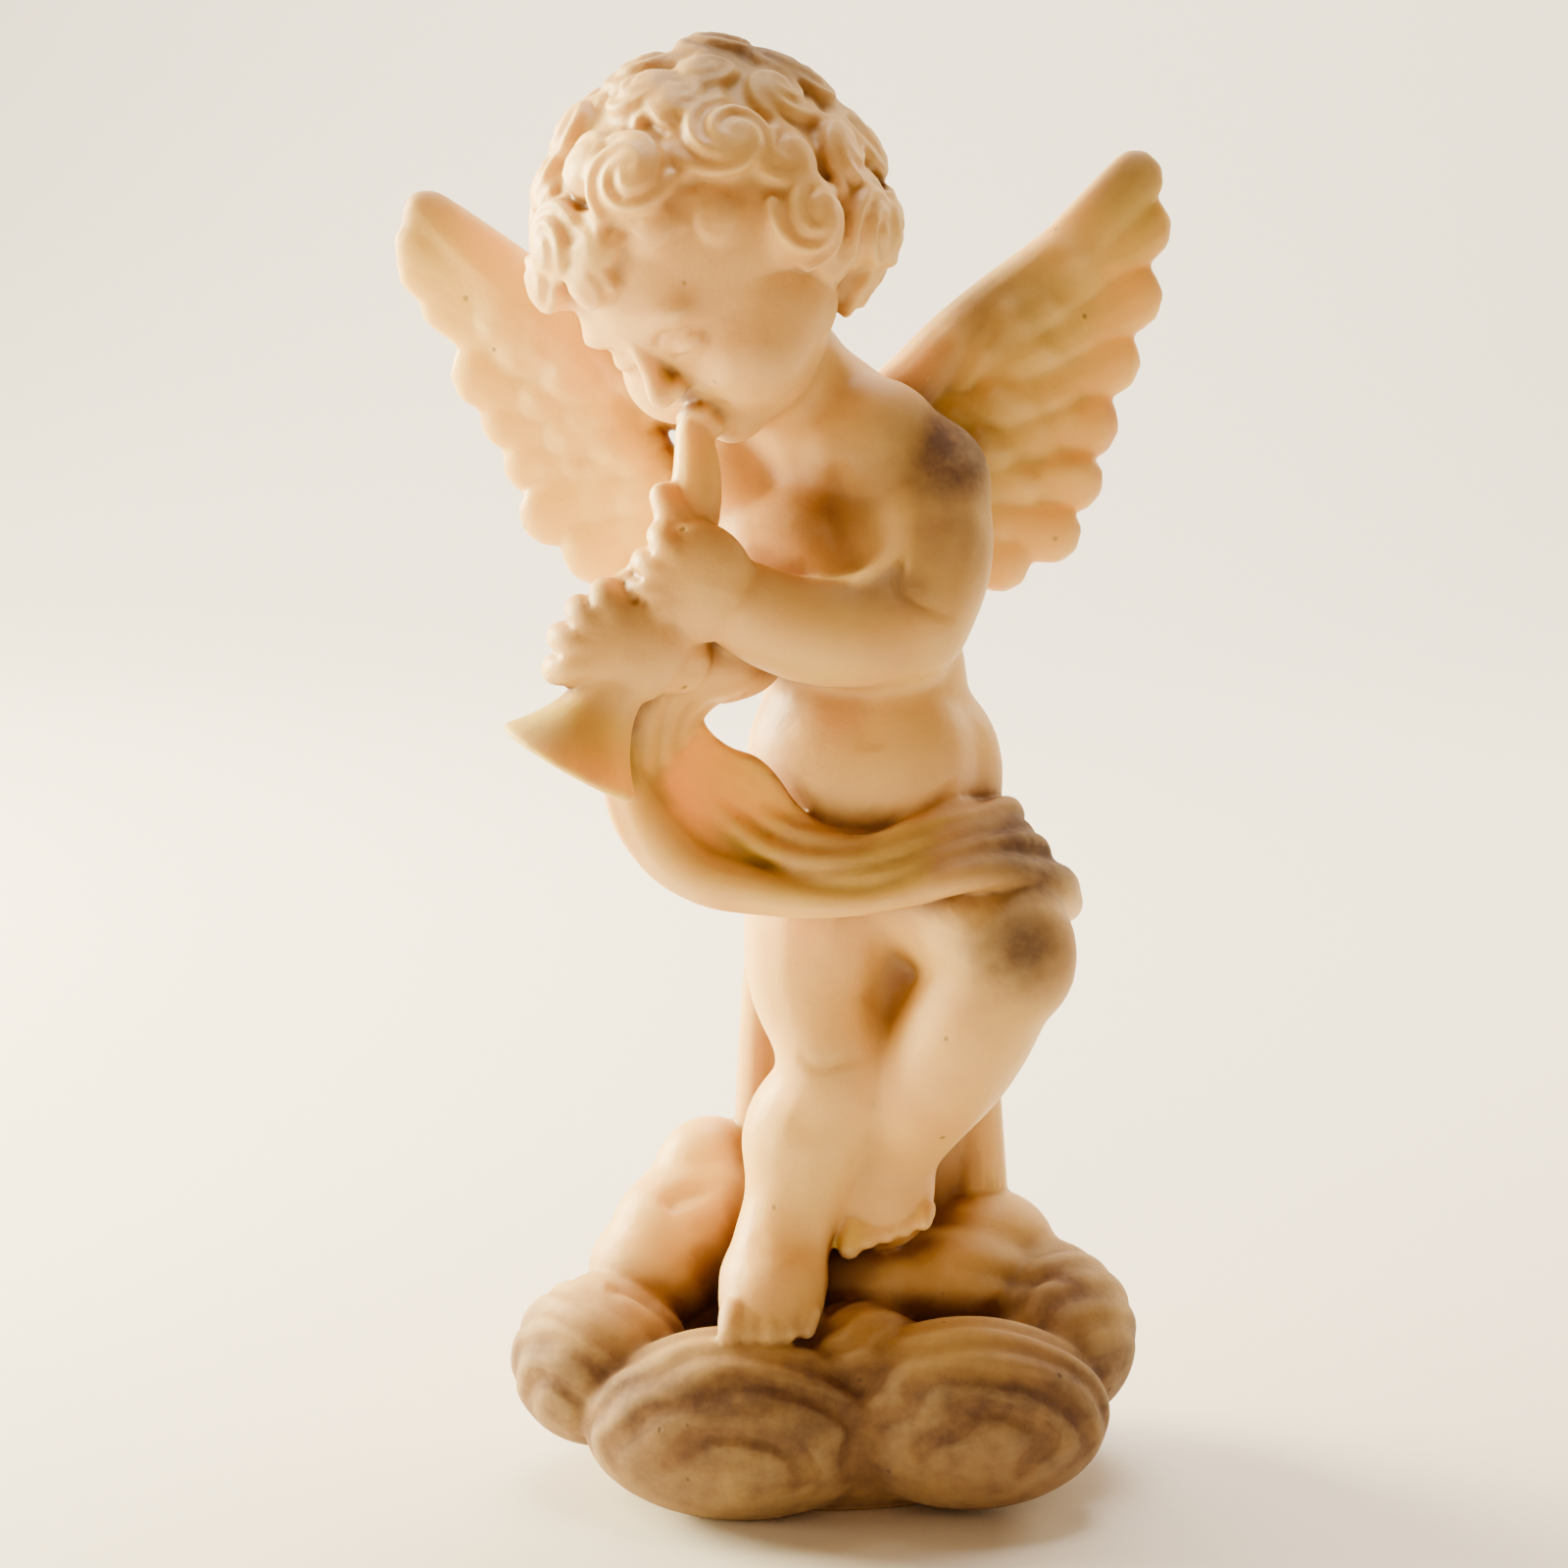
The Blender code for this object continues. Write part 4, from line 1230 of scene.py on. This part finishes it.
def cutFlat(cast):
    deselectAll()
    cast.select_set(True)
    bpy.context.view_layer.objects.active = cast
    bpy.ops.object.mode_set(mode="EDIT")
    bpy.ops.mesh.select_all(action="SELECT")
    bpy.ops.mesh.bisect(
        plane_co=(0, 0, 0), plane_no=(0, 0, 1), clear_inner=True, use_fill=True, threshold=1e-6
    )
    bpy.ops.mesh.select_all(action="SELECT")
    bpy.ops.mesh.quads_convert_to_tris()
    bpy.ops.mesh.dissolve_degenerate(threshold=1e-6)
    bpy.ops.object.mode_set(mode="OBJECT")


def dropLooseBits(cast):
    # specks that remeshing leaves in closed-off gaps
    top = int(np.argmax(readPoints(cast.data)[:, 2]))
    bpy.ops.object.mode_set(mode="EDIT")
    bpy.ops.mesh.select_mode(type="VERT")
    bpy.ops.mesh.select_all(action="DESELECT")
    bpy.ops.object.mode_set(mode="OBJECT")
    cast.data.vertices[top].select = True
    bpy.ops.object.mode_set(mode="EDIT")
    bpy.ops.mesh.select_linked()
    bpy.ops.mesh.select_all(action="INVERT")
    bpy.ops.mesh.delete(type="VERT")
    bpy.ops.object.mode_set(mode="OBJECT")


# Rounds of smoothing: many on flesh, which is soft, and few where edges are to stay
smoothing = {"flesh": 40, "smallFlesh": 4, "hair": 7, "sash": 2, "wings": 2, "cloud": 2, "cloudHeap": 6}


def makeCherub():
    flesh, fine = figure["fleshVoxel"], figure["fineVoxel"]
    bodies = []
    for name, draw, voxel in (
        ("flesh", lambda: torso() + arms() + legs() + head(), flesh),
        ("smallFlesh", lambda: face() + toes() + hands(), fine),
        ("hair", hair, fine),
        ("sash", lambda: sash() + hangingCloth(), fine),
        ("wings", lambda: wing("left") + wing("right"), fine),
        ("cloud", cloud, fine),
        ("cloudHeap", cloudHeap, flesh),
    ):
        bodies.append(fused(name, draw(), voxel, smoothing[name]))
        print(name, "is pressed together")
    bodies.append(joined("horn", horn()))
    cast = fused("cherubCast", bodies, figure["castVoxel"], 2)
    print("all is one cast of", len(cast.data.polygons), "faces")
    sculpt(cast)
    applyModifier(cast, "SMOOTH", factor=0.5, iterations=1)
    triangles = sum(len(face.vertices) - 2 for face in cast.data.polygons)
    applyModifier(cast, "DECIMATE", ratio=min(1.0, figure["triangles"] / triangles))
    cutFlat(cast)
    dropLooseBits(cast)
    bpy.ops.object.shade_smooth()
    print("cast is carved and thinned to", len(cast.data.polygons), "triangles")
    weatherAndPaintShade(cast)
    cast.data.materials.clear()
    cast.data.materials.append(castMarbleResin())
    print("dirt has settled")
    return cast


cherubCast = makeCherub()
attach(cherubCast, "root")
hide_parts("cherub")


# Studio

studio = {
    "paper": "#F7F3EC",
    "paperFibre": "#EDE8E0",
    "width": 5.0,
    "front": 2.0,
    "wallAt": 0.9,
    "bend": 0.7,
    "bendSteps": 10,
    "wallHeight": 2.5,
    "room": "#FFCB94",
    "roomStrength": 0.12,
    # spot, width, watts and colour of each lamp
    "lamps": {
        "windowLeft": ((-0.88, 0.42, 0.4), 0.6, 72, "#FFF0BE"),
        "lowLeft": ((-1.0, -0.2, 0.14), 0.4, 8, "#FFEAB8"),
        "backRight": ((0.7, 0.6, 0.5), 0.4, 5, "#FFE2B4"),
        "softFront": ((0.3, -1.3, 0.8), 1.0, 4.5, "#FFC48C"),
        "wallWash": ((0, 0.5, 1.8), 1.2, 80, "#FFF3E2"),
    },
}


def matteRollPaper():
    # smooth white background paper, faintly fibrous and without any gloss
    material = bpy.data.materials.new("matteRollPaper")
    material.use_nodes = True
    tree = material.node_tree
    shader = tree.nodes["Principled BSDF"]
    place = addNode(tree, "TexCoord").outputs["Object"]
    fibre = addNode(tree, "TexNoise", {"Scale": 900, "Detail": 4}, {"Vector": place})
    tone = addNode(
        tree,
        "Mix",
        {"data_type": "RGBA", 6: linear(studio["paper"]), 7: linear(studio["paperFibre"])},
        {0: fibre.outputs["Fac"]},
    )
    tree.links.new(tone.outputs[2], shader.inputs["Base Color"])
    shader.inputs["Roughness"].default_value = 0.9
    return material


def paperSweep():
    # a sheet that lies on the table and curves up into a wall behind
    half, back, bend = studio["width"] / 2, studio["wallAt"], studio["bend"]
    deselectAll()
    bpy.ops.mesh.primitive_plane_add(size=2, location=(0, 0, 0))
    sweep = bpy.context.object
    sweep.name = "paperSweep"
    bpy.ops.object.mode_set(mode="EDIT")
    bpy.ops.mesh.select_all(action="SELECT")
    bpy.ops.transform.resize(value=(half, (back + studio["front"]) / 2, 1), center_override=(0, 0, 0))
    bpy.ops.transform.translate(value=(0, (back - studio["front"]) / 2, 0))
    bpy.ops.mesh.select_all(action="DESELECT")
    bpy.ops.object.mode_set(mode="OBJECT")
    for corner in sweep.data.vertices:
        corner.select = corner.co.y > 0
    for edge in sweep.data.edges:
        edge.select = all(sweep.data.vertices[end].co.y > 0 for end in edge.vertices)
    bpy.ops.object.mode_set(mode="EDIT")
    bpy.ops.mesh.select_mode(type="EDGE")
    reach = rise = 0
    for stage in range(1, studio["bendSteps"] + 1):
        angle = math.radians(90 * stage / studio["bendSteps"])
        nextReach, nextRise = bend * math.sin(angle), bend * (1 - math.cos(angle))
        move = (0, nextReach - reach, nextRise - rise)
        bpy.ops.mesh.extrude_edges_move(TRANSFORM_OT_translate={"value": move})
        reach, rise = nextReach, nextRise
    bpy.ops.mesh.extrude_edges_move(TRANSFORM_OT_translate={"value": (0, 0, studio["wallHeight"])})
    bpy.ops.mesh.select_all(action="SELECT")
    bpy.ops.mesh.normals_make_consistent(inside=False)
    bpy.ops.object.mode_set(mode="OBJECT")
    bpy.ops.object.shade_smooth()
    sweep.data.materials.append(matteRollPaper())
    return sweep


def areaLight(name, spot, target, width, power, colour):
    deselectAll()
    bpy.ops.object.light_add(type="AREA", location=spot)
    light = bpy.context.object
    light.name = name
    light.data.shape = "DISK"
    light.data.size = width
    light.data.energy = power
    light.data.color = linear(colour)[:3]
    away = Vector(spot) - Vector(target)
    light.rotation_mode = "QUATERNION"
    light.rotation_quaternion = away.to_track_quat("Z", "Y")
    return light


def studioLights():
    for name, (spot, width, power, colour) in studio["lamps"].items():
        target = (0, 1.6, 0.6) if name == "wallWash" else (0, 0, 0.15)
        areaLight(name, spot, target, width, power, colour)
    world = bpy.data.worlds.new("roomLight")
    bpy.context.scene.world = world
    world.use_nodes = True
    background = world.node_tree.nodes["Background"]
    background.inputs["Color"].default_value = linear(studio["room"])
    background.inputs["Strength"].default_value = studio["roomStrength"]


# Camera: as in the photograph, from the front and a little above
view = {
    "elevation": 12.0,
    "distance": 0.9,
    "pixelsPerMetre": 5000.0,
    "photoSize": 1600.0,
    "originPixel": (845, 1500),  # where the origin shows in the photograph
    "sensor": 36.0,
}


def photoCamera():
    tilt = math.radians(view["elevation"])
    back = Vector((0, -math.cos(tilt), math.sin(tilt)))
    right = Vector((1, 0, 0))
    up = back.cross(right)
    half = view["photoSize"] / 2
    offRight = (half - view["originPixel"][0]) / view["pixelsPerMetre"]
    offUp = (view["originPixel"][1] - half) / view["pixelsPerMetre"]
    spot = right * offRight + up * offUp + back * view["distance"]
    deselectAll()
    bpy.ops.object.camera_add(location=spot)
    camera = bpy.context.object
    camera.name = "photoCamera"
    camera.rotation_mode = "QUATERNION"
    camera.rotation_quaternion = (-back).to_track_quat("-Z", "Y")
    camera.data.sensor_width = view["sensor"]
    camera.data.lens = view["sensor"] * view["pixelsPerMetre"] * view["distance"] / view["photoSize"]
    camera.data.clip_start = 0.01
    camera.data.clip_end = 20
    bpy.context.scene.camera = camera


paperSweep()
studioLights()
photoCamera()
print("studio is lit")
